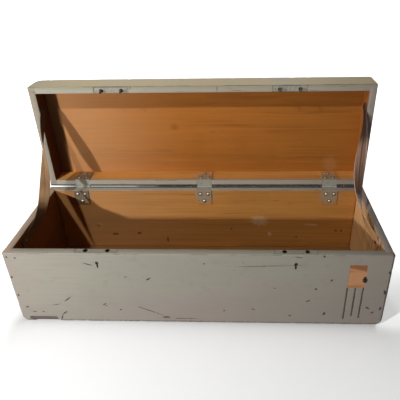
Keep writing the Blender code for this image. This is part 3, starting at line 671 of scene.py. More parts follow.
def hinge_gap_shade(finish, colour, height):
    """Painted shade in the gap where the lid turns: near black within a few millimetres of its middle."""
    across = finish.total(finish.y, -HINGE_GAP[0])
    over = finish.total(finish.z, -HINGE_GAP[1])
    away = finish.math("SQRT", finish.total(finish.times(across, across), finish.times(over, over)))
    rough = finish.times(finish.ragged(120.0, 67.0), 2 * MM)
    dirt = finish.rise(finish.total(away, rough), 8.0 * MM, 4.5 * MM)
    return finish.over(colour, BLACK_SOOT_AND_SHADE, dirt, 0.92), height


def hinge_smears(finish, middle, half, plane):
    """Paint smeared over and round the hinge leaves, 1 at the leaves and ragged outwards."""
    rough = finish.times(finish.ragged(90.0, 41.0), 1.6)
    smear = 0.0
    for place in HINGE_PLACES:
        smear = finish.larger(finish.patch((place, middle), half, 0.0, plane, rough, 0.45), smear)
    return smear


def box_leaf_smears(finish):
    """The smears round the leaves on the box's back."""
    return hinge_smears(finish, *BOX_LEAF_SMEAR, (X, Z))


def lid_leaf_smears(finish):
    """The smears round the leaves on the lid's back."""
    return hinge_smears(finish, *LID_LEAF_SMEAR, (X, Y))


def back_wall_marks(finish, colour, height):
    """Inside the back: paint smeared round the hinges, a painted sheen paler towards the left end, scuffs
    and small dark dents.
    """
    rough = finish.times(finish.ragged(110.0, 43.0), 1.8)
    plane = (X, Z)
    # Painted sheen: paler towards the left, nearer the key lamp
    colour = finish.over(colour, SHEEN_PALE_WOOD, finish.rise(finish.x, 0.05, -0.30), 0.45)
    colour = finish.over(colour, SMEAR, box_leaf_smears(finish), 0.80)
    for x, z, half_long, half_high, turn, share in WALL_SCUFFS:
        mark = finish.patch(metres(x, z), metres(half_long, half_high), turn, plane, rough, 0.4)
        colour = finish.over(colour, SCUFF, mark, share)
    dents = finish.marks(WALL_DENTS, plane, rough)
    colour = finish.over(colour, DIRT_AND_SHADE, dents, 0.7)
    return colour, finish.plus(height, dents, -0.4 * MM)


def lid_ledge_marks(finish, colour, height):
    """Inside the lid's back: grey paint smeared round the hinge leaves."""
    colour = finish.over(colour, SMEAR, finish.rise(finish.y, 200 * MM, 170 * MM), 0.35)
    return finish.over(colour, SMEAR, lid_leaf_smears(finish), 0.80), height


def lid_panel_marks(finish, colour, height):
    """Inside the lid's panel: paler to the left as a painted sheen, darker as painted shade to the right, in
    the left corner and in a band along the top, with a smear by a hinge and a knot."""
    rough = finish.times(finish.ragged(70.0, 47.0), 1.8)
    plane = (X, Z)
    # Painted sheen: the wood paler and less saturated towards the left, nearer the key lamp
    colour = finish.over(colour, SHEEN_PALE_WOOD, finish.rise(finish.x, -0.02, -0.42), 0.70)
    # Painted shade: darker towards the right, further from the key lamp
    colour = finish.over(colour, PANEL_WOOD[3], finish.rise(finish.x, 0.05, 0.45), 0.28)
    # Painted shadow of the lid's left end on the panel's left strip
    colour = finish.over(colour, SHADED_LID_LEFT_WOOD[3], finish.rise(finish.x, -0.438, -0.452), 0.65)
    # Painted shadow band under the lid's front board, along the top of the panel
    top_shadow = finish.rise(finish.plus(finish.z, rough, 0.4 * MM), *TOP_SHADOW_EDGE)
    right = finish.rise(finish.x, -0.45, -0.30)
    colour = finish.over(colour, PANEL_WOOD[3], top_shadow, right, 0.30)
    smear = finish.patch(*PANEL_SMEAR, plane, rough, 0.6)
    colour = finish.over(colour, SCUFF, smear, 0.14)
    knot = finish.patch(*PANEL_KNOT, plane, rough, 0.7)
    return finish.over(colour, PANEL_WOOD[3], knot, 0.5), height


def right_wall_marks(finish, colour, height):
    """Inside the right end: dark stains that ran down the wall behind the strap."""
    stains = finish.noise((1.0, 45.0, 5.0), 4.0, 61.0, bend=0.6)
    share = finish.times(finish.rise(stains, 0.50, 0.66), finish.rise(finish.y, 0.08, -0.02))
    return finish.over(colour, DIRT_AND_SHADE, share, 0.65), height


def painted_board(name, wood, inner, rim, rim_tint, grain, shift, gloss, paint_marks=None, wood_marks=None):
    """Bare softwood on the inner face, paint elsewhere, worn through where the edges are chipped.

    inner and rim are each an axis, a plane and a sign: of the way into the trunk from the inner face, and of
    the way down into the wood from the rim. rim_tint colours the rim at the left end."""
    finish = Finish(name + "_finish", 0.62)
    bare_colour, bare_height = softwood(finish, wood, grain, shift)
    if wood_marks is not None:
        bare_colour, bare_height = wood_marks(finish, bare_colour, bare_height)
    colour, height = old_paint(finish, shift + 3.0)
    ragged = finish.ragged(90.0, shift + 29.0)
    rim_axis, rim_plane, rim_sign = rim
    below = finish.times(finish.less(finish.axes[rim_axis], rim_plane), rim_sign)
    on_rim = finish.rise(below, 1.2 * MM, 0.4 * MM)
    rim_share = finish.times(on_rim, finish.rise(finish.x, 0.55, 0.25))
    left_rim = finish.times(on_rim, finish.rise(finish.x, -0.476, -0.482))
    broken = finish.rise(finish.noise((26.0, 26.0, 26.0), 3.0, shift + 31.0), 0.50, 0.62)
    under_edge = finish.rise(below, 2.3 * MM, 1.5 * MM)
    line = finish.times(finish.rise(below, 0.4 * MM, 0.9 * MM), under_edge, broken)
    colour = finish.over(colour, PAINT_RIM, rim_share, 0.6)
    colour = finish.over(colour, rim_tint, left_rim, 0.55)
    colour = finish.over(colour, DARK_CHIP_AND_SHADE, line, 0.6)
    stretch = [330.0] * 3
    stretch[grain] = 14.0
    scratches = finish.rise(finish.noise(stretch, 2.0, shift + 37.0), 0.66, 0.72)
    colour = finish.over(colour, DARK_CHIP_AND_SHADE, scratches, on_rim, 0.5)
    wear = finish.node("Attribute", {}, attribute_name="wear").outputs["Fac"]
    chip = finish.rise(finish.plus(wear, finish.ragged(420.0, shift + 33.0), 0.9), 0.22, 0.40)
    tone = finish.rise(finish.noise((60.0, 60.0, 60.0), 3.0, shift), 0.45, 0.70)
    colour = finish.mix(colour, finish.mix(DARK_CHIP_AND_SHADE, CHIP_WOOD, tone), chip)
    height = finish.plus(height, chip, -0.25 * MM)
    if paint_marks is not None:
        colour, height = paint_marks(finish, colour, height)
    inner_axis, inner_plane, inner_sign = inner
    inside = finish.times(finish.less(finish.axes[inner_axis], inner_plane), inner_sign)
    inside = finish.rise(finish.plus(inside, ragged, 0.2 * MM), -0.85 * MM, -0.35 * MM)
    under = finish.rise(finish.plus(below, ragged, 1.2 * MM), 1.35 * MM, 1.85 * MM)
    bare = finish.times(inside, under)
    colour = finish.mix(colour, bare_colour, bare)
    covered = finish.less(1.0, bare)
    height = finish.total(finish.times(height, covered), finish.times(bare_height, bare))
    return finish.done(colour, height, finish.plus(0.66, ragged, 0.2), gloss)


def plain_board(name, wood, grain, shift):
    """Bare softwood all over, grimy underneath."""
    finish = Finish(name + "_finish", 0.6)
    colour, height = softwood(finish, wood, grain, shift)
    below = finish.rise(finish.z, 3 * MM, 1 * MM)
    dust = finish.rise(finish.noise((9.0, 9.0, 9.0), 5.0, shift), 0.30, 0.75)
    grime = finish.times(below, finish.plus(0.35, dust, 0.4))
    return finish.done(finish.mix(colour, PAINT_GRIME, grime), height)


def hinge_leaf(name, wood, smears, screws, rim_axis, rim_from, rim_to):
    """A thinly painted leaf: smeared like the wood round it, dirty round its screws, darker at the left
    hinge as a painted shadow of the strap, grey where it wraps the rim."""
    finish = Finish(name, 0.5)
    ragged = finish.ragged(150.0, 3.0)
    grain = finish.noise((700.0, 700.0, 700.0), 3.0, 5.0)
    colour = finish.over(wood[1], SMEAR, smears(finish), 0.85)
    ring = finish.rise(finish.plus(finish.nearest(screws), ragged, 3 * MM), 8.0 * MM, 5.5 * MM)
    colour = finish.over(colour, DIRT_AND_SHADE, ring, 0.62)
    # Painted shadow: the left hinge's leaves darkened where the strap shades them
    colour = finish.over(colour, DIRT_AND_SHADE, finish.rise(finish.x, -0.30, -0.36), 0.5)
    colour = finish.mix(colour, PAINT, finish.rise(finish.axes[rim_axis], rim_from, rim_to))
    rubbed = finish.rise(ragged, 0.08, 0.20)
    colour = finish.over(colour, IRON, rubbed, 0.5)
    height = finish.total(finish.times(grain, 0.05 * MM), finish.times(rubbed, -0.10 * MM))
    return finish.done(colour, height, finish.plus(0.52, ragged, 0.3))


def rim_plate(node, plane, openings, reach, iron_axis, iron_from, iron_to):
    """A painted lock plate with a dark outline and painted shade black in and round its openings; past a
    plane it is bare iron.
    """
    finish = Finish(node + "_finish", 0.5)
    ragged = finish.ragged(150.0, 7.0)
    low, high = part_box(node)
    low = [low[axis] + PLATE_OUTLINE for axis in plane]
    high = [high[axis] - PLATE_OUTLINE for axis in plane]
    face = finish.field(low, high, plane, finish.times(ragged, 1.0 * MM), 0.4 * MM)
    edge = finish.less(1.0, face)
    colour = finish.mix(PAINT, PAINT_DULL, finish.rise(ragged, -0.10, 0.15))
    colour = finish.over(colour, DARK_CHIP_AND_SHADE, edge, 0.6)
    # Painted shade: near black in and round the holes and staple roots
    opening_shade = finish.rise(finish.plus(finish.nearest(openings), ragged, 4 * MM), reach + 1.5 * MM, reach)
    colour = finish.over(colour, BLACK_SOOT_AND_SHADE, opening_shade, 0.97)
    colour = finish.mix(colour, IRON, finish.rise(finish.axes[iron_axis], iron_from, iron_to))
    return finish.done(colour, finish.times(ragged, 0.15 * MM), finish.plus(0.50, ragged, 0.3))


def dark_iron(name):
    """Blackened iron with a mottled, slightly shiny skin."""
    finish = Finish(name, 0.42, 0.7)
    mottle = finish.noise((90.0, 90.0, 90.0), 5.0)
    colour = finish.mix(IRON_DARK, IRON_WORN, finish.rise(mottle, 0.40, 0.72))
    return finish.done(colour, finish.times(mottle, 0.10 * MM), finish.plus(0.30, mottle, 0.35))


def screw_steel(name, bright):
    """Steel rubbed bright on the crown and brown in its hollows."""
    finish = Finish(name, 0.36, 0.85)
    stain = finish.noise((520.0, 520.0, 520.0), 4.0)
    colour = finish.mix(bright, RUST, finish.rise(stain, 0.50, 0.74))
    return finish.done(colour, finish.times(stain, 0.05 * MM), finish.plus(0.36, stain, 0.30))


def strap_leather(label):
    """Old strap leather: streaks along the band, dark cracks, a dark middle and paler cut edges, with
    painted light on a pale stretch of the left strap, a head blackened as painted shade, and a foot in
    painted shade on the left strap and in painted light on the right.

    The band's UV map gives across, from 0 to 1, and along, in metres."""
    finish = Finish(f"strap_{label}_leather", 0.58)
    tone = LEATHER_TONE[label]
    dark = LEATHER_DARK[label]
    foot_reach = STRAP_FOOT_REACH[label]
    place = finish.node("UVMap", {}, uv_map="band").outputs[0]
    across, along = finish.node("SeparateXYZ", {0: place}).outputs[:2]
    offset = finish.math("ABSOLUTE", finish.less(across, 0.5))
    streaks = finish.noise((16.0, 6.0, 1.0), 5.0, 0.0, place)
    cracks = finish.noise((42.0, 26.0, 1.0), 4.0, 4.0, place, 0.5)
    pores = finish.noise((900.0, 900.0, 900.0), 2.0)
    colour = finish.mix(dark, tone, finish.rise(streaks, 0.34, 0.62))
    colour = finish.over(colour, dark, finish.rise(cracks, 0.56, 0.66), 0.7)
    middle = finish.times(finish.rise(offset, 0.14, 0.02), finish.rise(streaks, 0.30, 0.60))
    colour = finish.over(colour, dark, middle, 0.7)
    colour = finish.over(colour, LEATHER_EDGE[label], finish.rise(offset, 0.42, 0.47), 0.85)
    # Painted light: a pale stretch on the left strap, not rubbing
    rubbed = finish.times(finish.rise(along, *STRAP_LIT_REACH), finish.rise(streaks, 0.20, 0.45))
    colour = finish.over(colour, LEATHER_LIT, rubbed, STRAP_LIT_SHARE[label])
    # Painted shade on the left foot, painted light on the right foot
    foot = finish.rise(along, foot_reach, foot_reach - STRAP_FOOT_FADE[label])
    colour = finish.over(colour, STRAP_FOOT_SHADING[label], foot, 0.8)
    # Painted shade on the head inside the lid
    head = finish.rise(along, *STRAP_HEAD_REACH)
    colour = finish.over(colour, STRAP_HEAD_SHADE[label], head, 0.8)
    height = finish.total(
        finish.times(streaks, 0.25 * MM),
        finish.times(cracks, -0.20 * MM),
        finish.times(pores, 0.06 * MM),
    )
    return finish.done(colour, height, finish.plus(0.50, streaks, 0.25), 0.15)


def floor_finish():
    """A pale matt floor that keeps the shadow; to the camera and to gloss it also glows towards white.

    The glow is level d / (d + fade), where d is the distance from the trunk's foot, so that it paints a
    contact shadow round the foot. The level is higher far away, to the right and behind, and the fade is
    shorter past the right end. Just behind the trunk the glow fades out, which paints a shadow there."""
    finish = Finish("floor_finish", 0.9)
    tree = finish.tree
    diffuse = finish.node("BsdfDiffuse", {"Color": FLOOR})
    path = finish.node("LightPath", {})
    seen = finish.larger(path.outputs["Is Camera Ray"], path.outputs["Is Glossy Ray"])
    seen = finish.larger(seen, path.outputs["Is Transmission Ray"])
    past_end = finish.larger(finish.less(finish.x, FOOT_RIGHT), finish.less(FOOT_LEFT, finish.x))
    past_end = finish.larger(past_end, 0.0)
    past_side = finish.larger(finish.less(finish.math("ABSOLUTE", finish.y), FOOT_HALF_DEPTH), 0.0)
    square = finish.total(finish.times(past_end, past_end), finish.times(past_side, past_side))
    away = finish.math("SQRT", square)
    open_side = finish.larger(finish.rise(finish.x, *OPEN_RIGHT), finish.rise(finish.y, *OPEN_BEHIND))
    open_side = finish.larger(open_side, finish.rise(away, *OPEN_AWAY))
    past_right = finish.times(finish.rise(finish.x, *PAST_RIGHT_X), finish.rise(finish.y, *PAST_RIGHT_Y))
    level = finish.plus(finish.plus(GLOW_LEVEL, open_side, GLOW_OPEN), past_right, GLOW_RIGHT)
    fade = finish.plus(GLOW_FADE, past_right, GLOW_FADE_RIGHT - GLOW_FADE)
    # The glow falls to nothing at the trunk's foot: a painted contact shadow
    glow = finish.times(level, finish.math("DIVIDE", away, finish.total(away, fade)))
    beside = finish.larger(finish.rise(finish.x, *CLEAR_LEFT), finish.rise(finish.x, *CLEAR_RIGHT))
    clear = finish.larger(finish.rise(finish.y, *CLEAR_BEHIND), finish.rise(finish.y, *CLEAR_FRONT))
    # No glow just behind the trunk: a painted shadow there
    glow = finish.times(glow, finish.larger(beside, clear), seen)
    shine = finish.node("Emission", {"Color": (1, 1, 1, 1), "Strength": glow})
    both = finish.node("AddShader", {0: diffuse.outputs[0], 1: shine.outputs[0]})
    tree.links.new(both.outputs[0], tree.nodes["Material Output"].inputs["Surface"])
    tree.nodes.remove(finish.shader)
    return finish.material


def quads(index):
    """The four-sided faces of a grid of point numbers."""
    corners = (index[:-1, :-1], index[:-1, 1:], index[1:, 1:], index[1:, :-1])
    return np.stack(corners, axis=-1).reshape(-1, 4)


def tidy_mesh(mesh, smooth_angle):
    """Merges doubles, turns every face outward and shades all but the sharp edges smooth."""
    work = bmesh.new()
    work.from_mesh(mesh)
    bmesh.ops.remove_doubles(work, verts=work.verts, dist=MERGE_WITHIN)
    bmesh.ops.recalc_face_normals(work, faces=work.faces)
    work.to_mesh(mesh)
    work.free()
    mesh.shade_smooth()
    mesh.set_sharp_from_angle(angle=math.radians(smooth_angle))


def place_piece(name, points, faces):
    """A new object at the origin from arrays of points and of faces."""
    mesh = bpy.data.meshes.new(name)
    mesh.from_pydata(points.tolist(), [], faces.tolist())
    piece = bpy.data.objects.new(name, mesh)
    bpy.context.scene.collection.objects.link(piece)
    return piece


def closed_pair(name, top, bottom):
    """A closed skin over two grids of points with as many rows and columns: both and a wall round them."""
    rows, columns = top.shape[:2]
    count = rows * columns
    index = np.arange(count).reshape(rows, columns)
    face = quads(index)
    rim = np.concatenate((index[0, :-1], index[:-1, -1], index[-1, :0:-1], index[:0:-1, 0]))
    following = np.roll(rim, -1)
    wall = np.stack((rim, following, following + count, rim + count), axis=1)
    points = np.concatenate((top.reshape(-1, 3), bottom.reshape(-1, 3)))
    return place_piece(name, points, np.concatenate((face, face[:, ::-1] + count, wall)))


def edge_radius(places, base, chipped, chooser):
    """The rounding along an edge, which is base times a slow wander about 1, and the depth of its chips.

    The wander is the mean of several sines. A chip is depth (1 - (offset / half)^2) within its half length.
    chipped scales how many chips there are and, below 1, how deep they go."""
    waves = chooser.uniform(*WANDER_WAVES, WANDER_COUNT) * MM
    phases = chooser.uniform(0, 2 * math.pi, WANDER_COUNT)
    wander = np.sin(2 * math.pi * places[:, None] / waves + phases).mean(axis=1)
    span = places.max() - places.min()
    count = int(chipped * span / CHIP_SPACING) + 1
    middles = chooser.uniform(places.min(), places.max(), count)
    halves = chooser.uniform(*CHIP_HALVES, count) * MM
    depths = chooser.gamma(*CHIP_DEPTHS, count) * MM * min(chipped, 1.0)
    bite = np.clip(1 - ((places[:, None] - middles) / halves) ** 2, 0, None)
    return base * (1 + WANDER_SHARE * wander), (depths * bite).max(axis=1)


def lowering(distance, radius):
    """How far a rounded edge lies below the face: r - sqrt(r^2 - (r - d)^2) within r of it, else 0."""
    inside = np.clip(radius - distance, 0, None)
    return radius - np.sqrt(np.clip(radius**2 - inside**2, 0, None))


def spread(low, high):
    """Places from low to high, close together near both ends and a grid step apart between."""
    near = EDGE_STEPS[EDGE_STEPS < (high - low) * NEAR_SHARE]
    start, end = low + near[-1], high - near[-1]
    between = np.linspace(start, end, int((end - start) / GRID_STEP) + 2)[1:-1]
    return np.concatenate((low + near, between, high - near[::-1]))


def merged_copy(node):
    """A copy of a solid with its loose triangles joined, for cutting with."""
    mesh = frame["nodes"][node].data.copy()
    work = bmesh.new()
    work.from_mesh(mesh)
    bmesh.ops.remove_doubles(work, verts=work.verts, dist=SOLID_MERGE_WITHIN)
    work.to_mesh(mesh)
    work.free()
    copy = bpy.data.objects.new(node + "_copy", mesh)
    bpy.context.scene.collection.objects.link(copy)
    return copy


def keep_inside(piece, node):
    """Keeps what of the piece lies in the node's solid, which gives it the solid's housings and holes."""
    copy = merged_copy(node)
    trim = piece.modifiers.new("trim", "BOOLEAN")
    trim.operation = "INTERSECT"
    trim.solver = "EXACT"
    trim.object = copy
    bpy.context.view_layer.update()
    evaluated = piece.evaluated_get(bpy.context.evaluated_depsgraph_get())
    trimmed = bpy.data.meshes.new_from_object(evaluated)
    piece.modifiers.clear()
    piece.data = trimmed
    bpy.data.objects.remove(copy)


def worn_face(u, v, base, chips, chooser, roll=None, split=None):
    """How far a face lies below its plane, by the largest of its edges' lowerings, and how much is wear.

    base is the edge rounding and chips the chip amounts at the edges u low, u high, v low and v high.
    roll is an edge number with its own radius and no chips. split is an edge number with a start, a stop,
    a height and a depth."""
    edges = (
        (v[None, :], (u - u[0])[:, None]),
        (v[None, :], (u[-1] - u)[:, None]),
        (u[:, None], (v - v[0])[None, :]),
        (u[:, None], (v[-1] - v)[None, :]),
    )
    drop = np.zeros((len(u), len(v)))
    wear = np.zeros_like(drop)
    for number, (along, distance) in enumerate(edges):
        radius, bite = edge_radius(along.ravel(), base, chips[number], chooser)
        if roll is not None and number == roll[0]:
            radius = np.full_like(radius, roll[1])
            bite = np.zeros_like(bite)
        sound = lowering(distance, radius.reshape(along.shape))
        worn = lowering(distance, (radius + bite).reshape(along.shape))
        if split is not None and number == split[0]:
            start, stop, height, depth = split[1:]
            ramp = np.minimum(along - start, stop - along) / SPLIT_RAMP
            step = np.clip(ramp, 0, 1) * np.clip((height - distance) / SPLIT_RAMP, 0, 1)
            worn = np.maximum(worn, depth * step)
        drop = np.maximum(drop, worn)
        wear = np.maximum(wear, worn - sound)
    return drop, wear


def thickness_axis(face):
    """The axis that a board's two face axes leave out."""
    return X + Y + Z - sum(face)


def inner_face(node, face, outer):
    """A board's inner face: the axis of its thickness, its plane and the sign of the way into the trunk."""
    through = thickness_axis(face)
    low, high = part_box(node)
    plane = low[through] if outer > 0 else high[through]
    return through, plane, -outer


def worn_board(node, face, outer, chips, seed, outline=None, roll=None, split=None):
    """A board with rounded, chipped edges, as two faces over a grid of its outline.

    face gives the two axes of the board's faces and outer the sign of its outer side. outline is the end of
    the second axis, 0 or 1, where the corners are rounded in the plane of the face, with the two radii.
    chips, roll and split go to the outer face, and a share of the chips to the inner one."""
    chooser = np.random.default_rng(seed)
    low, high = (np.array(corner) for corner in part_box(node))
    u_axis, v_axis = face
    through = thickness_axis(face)
    u = spread(low[u_axis] + SKIN_INSET, high[u_axis] - SKIN_INSET)
    v = spread(low[v_axis] + SKIN_INSET, high[v_axis] - SKIN_INSET)
    left = np.zeros_like(v)
    right = np.zeros_like(v)
    if outline is not None:
        end, left_radius, right_radius = outline
        from_end = (v[-1] - v) if end else (v - v[0])
        left = lowering(from_end, left_radius + ROUND_MARGIN)
        right = lowering(from_end, right_radius + ROUND_MARGIN)
    share = (u - u[0]) / (u[-1] - u[0])
    flat_u = (u[0] + left)[None, :] + share[:, None] * (u[-1] - right - u[0] - left)[None, :]
    flat_v = np.broadcast_to(v[None, :], flat_u.shape)
    thickness = high[through] - low[through]
    outside = worn_face(u, v, OUTER_EDGE, chips, chooser, roll, split)
    inside = worn_face(u, v, INNER_EDGE, [INNER_CHIP_SHARE * amount for amount in chips], chooser)
    faces = []
    worn = []
    sides = ((outer, outside, OUTER_WEAR_LIMIT), (-outer, inside, INNER_WEAR_LIMIT))
    for sign, (drop, wear), most in sides:
        grid = np.zeros((*flat_u.shape, 3))
        grid[..., u_axis] = flat_u
        grid[..., v_axis] = flat_v
        plane = high[through] if sign > 0 else low[through]
        grid[..., through] = plane - sign * (np.minimum(drop, most * thickness) + SKIN_INSET)
        faces.append(grid)
        worn.append(wear.ravel())
    piece = closed_pair("board_" + node, *faces)
    mark = piece.data.attributes.new("wear", "FLOAT", "POINT")
    amount = np.clip(np.concatenate(worn) / WORN_THROUGH, 0, 1)
    mark.data.foreach_set("value", amount.astype(np.float32))
    keep_inside(piece, node)
    tidy_mesh(piece.data, BOARD_SMOOTH)
    return piece


def take_over(piece, node):
    """The piece stands for the node, on the node's body."""
    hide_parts(node)
    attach(piece, frame["nodes"][node]["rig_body"])


def finish_board(piece, node, material):
    """Gives a board its one finish and puts it in its node's place."""
    piece.data.materials.clear()
    piece.data.materials.append(material)
    piece.data.polygons.foreach_set("material_index", np.zeros(len(piece.data.polygons), np.int32))
    take_over(piece, node)


def build_boards():
    """The ten boards, each with its own finish. The grain runs along the first face axis.

    Each row: node, face axes, outer side, wood, paint marks, wood marks, rounded outline and rolled edge."""
    box_outline = (0, BOX_ROUND["left"], BOX_ROUND["right"])
    lid_outline = (1, LID_ROUND["left"], LID_ROUND["right"])
    box_roll = {side: (V_LOW, radius + ROUND_MARGIN) for side, radius in BOX_ROUND.items()}
    lid_roll = {side: (V_HIGH, radius + ROUND_MARGIN) for side, radius in LID_ROUND.items()}
    box_crisp = (V_HIGH, HINGE_EDGE)
    lid_crisp = (V_LOW, HINGE_EDGE)
    box_plans = (
        ("box_front", (X, Z), -1, FRONT_WOOD, front_marks, None, box_outline, None),
        ("box_back", (X, Z), 1, BACK_WOOD, hinge_gap_shade, back_wall_marks, box_outline, box_crisp),
        ("box_left_end", (Y, Z), -1, SHADED_LEFT_WOOD, None, None, None, box_roll["left"]),
        ("box_right_end", (Y, Z), 1, LIT_RIGHT_WOOD, None, right_wall_marks, None, box_roll["right"]),
    )
    lid_plans = (
        ("lid_front", (X, Y), 1, PANEL_WOOD, lid_front_marks, None, lid_outline, None),
        ("lid_back", (X, Y), -1, LEDGE_WOOD, hinge_gap_shade, lid_ledge_marks, lid_outline, lid_crisp),
        ("lid_left_end", (Z, Y), -1, SHADED_LID_LEFT_WOOD, None, None, None, lid_roll["left"]),
        ("lid_right_end", (Z, Y), 1, LID_RIGHT_WOOD, None, None, None, lid_roll["right"]),
        ("lid_top", (X, Z), 1, PANEL_WOOD, None, lid_panel_marks, None, None),
    )
    box_chips = (SIDE_CHIPS, SIDE_CHIPS, FOOT_CHIPS, RIM_CHIPS)
    lid_chips = (SIDE_CHIPS, SIDE_CHIPS, RIM_CHIPS, FOOT_CHIPS)
    box_sides = (box_plans, box_chips, (Z, BOX_RIM, -1), RIM_WARM)
    lid_sides = (lid_plans, lid_chips, (Y, LID_RIM, 1), RIM_WORN)
    front_split = (V_LOW, SPLIT_START, SPLIT_STOP, SPLIT_HEIGHT, SPLIT_DEPTH)
    seed = FIRST_SEED
    for plans, chips, rim, rim_tint in (box_sides, lid_sides):
        for node, face, outer, wood, paint_marks, wood_marks, outline, roll in plans:
            split = front_split if node == "box_front" else None
            piece = worn_board(node, face, outer, chips, seed, outline, roll, split)
            inner = inner_face(node, face, outer)
            gloss = LID_FRONT_GLOSS if node == "lid_front" else BOARD_GLOSS
            shift = PATTERN_STEP * seed
            material = painted_board(
                node, wood, inner, rim, rim_tint, face[0], shift, gloss, paint_marks, wood_marks
            )
            finish_board(piece, node, material)
            seed += 1
    bottom = worn_board("box_bottom", (X, Y), -1, (RIM_CHIPS,) * 4, seed)
    finish_board(bottom, "box_bottom", plain_board("box_bottom", BOTTOM_WOOD, X, BOTTOM_PATTERN))


def screw_head(name, seat, outward, turn, radius, height, fullness):
    """A slotted screw head over a grid of chords.

    Row v is the chord y = R v, |x| < R sqrt(1 - v^2). The top is h (1 - r^power)^fullness above the seat,
    less the slot where |y| is under half its width."""
    slot = SLOT_WIDTH / 2 / radius
    outer = np.sin(np.linspace(0, math.pi / 2, SCREW_ROWS))
    half = np.concatenate(([0.0, slot * 0.97, slot * 1.03], outer[outer > slot * 1.2]))
    v = np.concatenate((-half[:0:-1], half))
    u = np.sin(np.linspace(-math.pi / 2, math.pi / 2, SCREW_COLUMNS))
    x = u[None, :] * np.sqrt(1 - v[:, None] ** 2)
    y = np.broadcast_to(v[:, None], x.shape)
    top = height * np.clip(1 - (x**2 + y**2) ** (CROWN_POWER / 2), 0, None) ** fullness
    depth = np.minimum(SLOT_DEPTH, SLOT_SHARE * top + HEAD_SINK)
    top = top - np.where(np.abs(y) < slot, depth, 0.0)
    outward = Vector(outward)
    first = outward.orthogonal().normalized()
    first.rotate(Matrix.Rotation(turn, 3, outward))
    second = outward.cross(first)
    flat = radius * (x[..., None] * np.array(first) + y[..., None] * np.array(second)) + np.array(seat)
    upper = flat + top[..., None] * np.array(outward)
    lower = flat - HEAD_SINK * np.array(outward)
    piece = closed_pair(name, upper, np.broadcast_to(lower, upper.shape))
    tidy_mesh(piece.data, SCREW_SMOOTH)
    return piece


def screw_seat(node):
    """The middle of a screw's head on its seat, the way the head faces and the sizes of the head."""
    low, high = (np.array(corner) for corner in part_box(node))
    head = FLAT_HEAD if "_plate_" in node else DOME_HEAD
    if node.startswith("strap"):
        axis, sign = X, -1 if "right" in node else 1
    elif "_lid_screw" in node:
        axis, sign = Z, 1
    else:
        axis, sign = Y, 1 if "_cap_" in node else -1
    outward = np.zeros(3)
    outward[axis] = sign
    seat = (low + high) / 2
    seat[axis] = (high if sign > 0 else low)[axis] - sign * head[1]
    return seat, outward, head


def build_screws():
    """A slotted head in place of every screw, and one more in the middle of each lid plate."""
    chooser = np.random.default_rng(SCREW_SEED)
    steel = screw_steel("screw_steel_finish", STEEL)
    dull = screw_steel("lid_screw_finish", STEEL_DULL)
    strap_shade_black = dark_iron("strap_screw_finish")
    for node in sorted(frame["nodes"]):
        if "_screw" not in node:
            continue
        seat, outward, head = screw_seat(node)
        turn = chooser.uniform(0, math.pi)
        piece = screw_head("head_" + node, seat, outward, turn, *head)
        metal = steel
        # Strap screws take black iron: partly painted shade, so they sit dark in the shade at the strap ends
        if node.startswith("strap"):
            metal = strap_shade_black
        elif head == FLAT_HEAD or "_lid_screw" in node:
            metal = dull
        piece.data.materials.append(metal)
        take_over(piece, node)
    for label, place in LOCK_PLACES.items():
        name = f"plate_{label}_middle_screw"
        seat = (place, LID_RIM - MIDDLE_SCREW_INSET, MIDDLE_SCREW_HEIGHT)
        piece = screw_head(name, seat, (0, -1, 0), MIDDLE_SCREW_TURN, *FLAT_HEAD)
        piece.data.materials.append(dull)
        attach(piece, "lid")


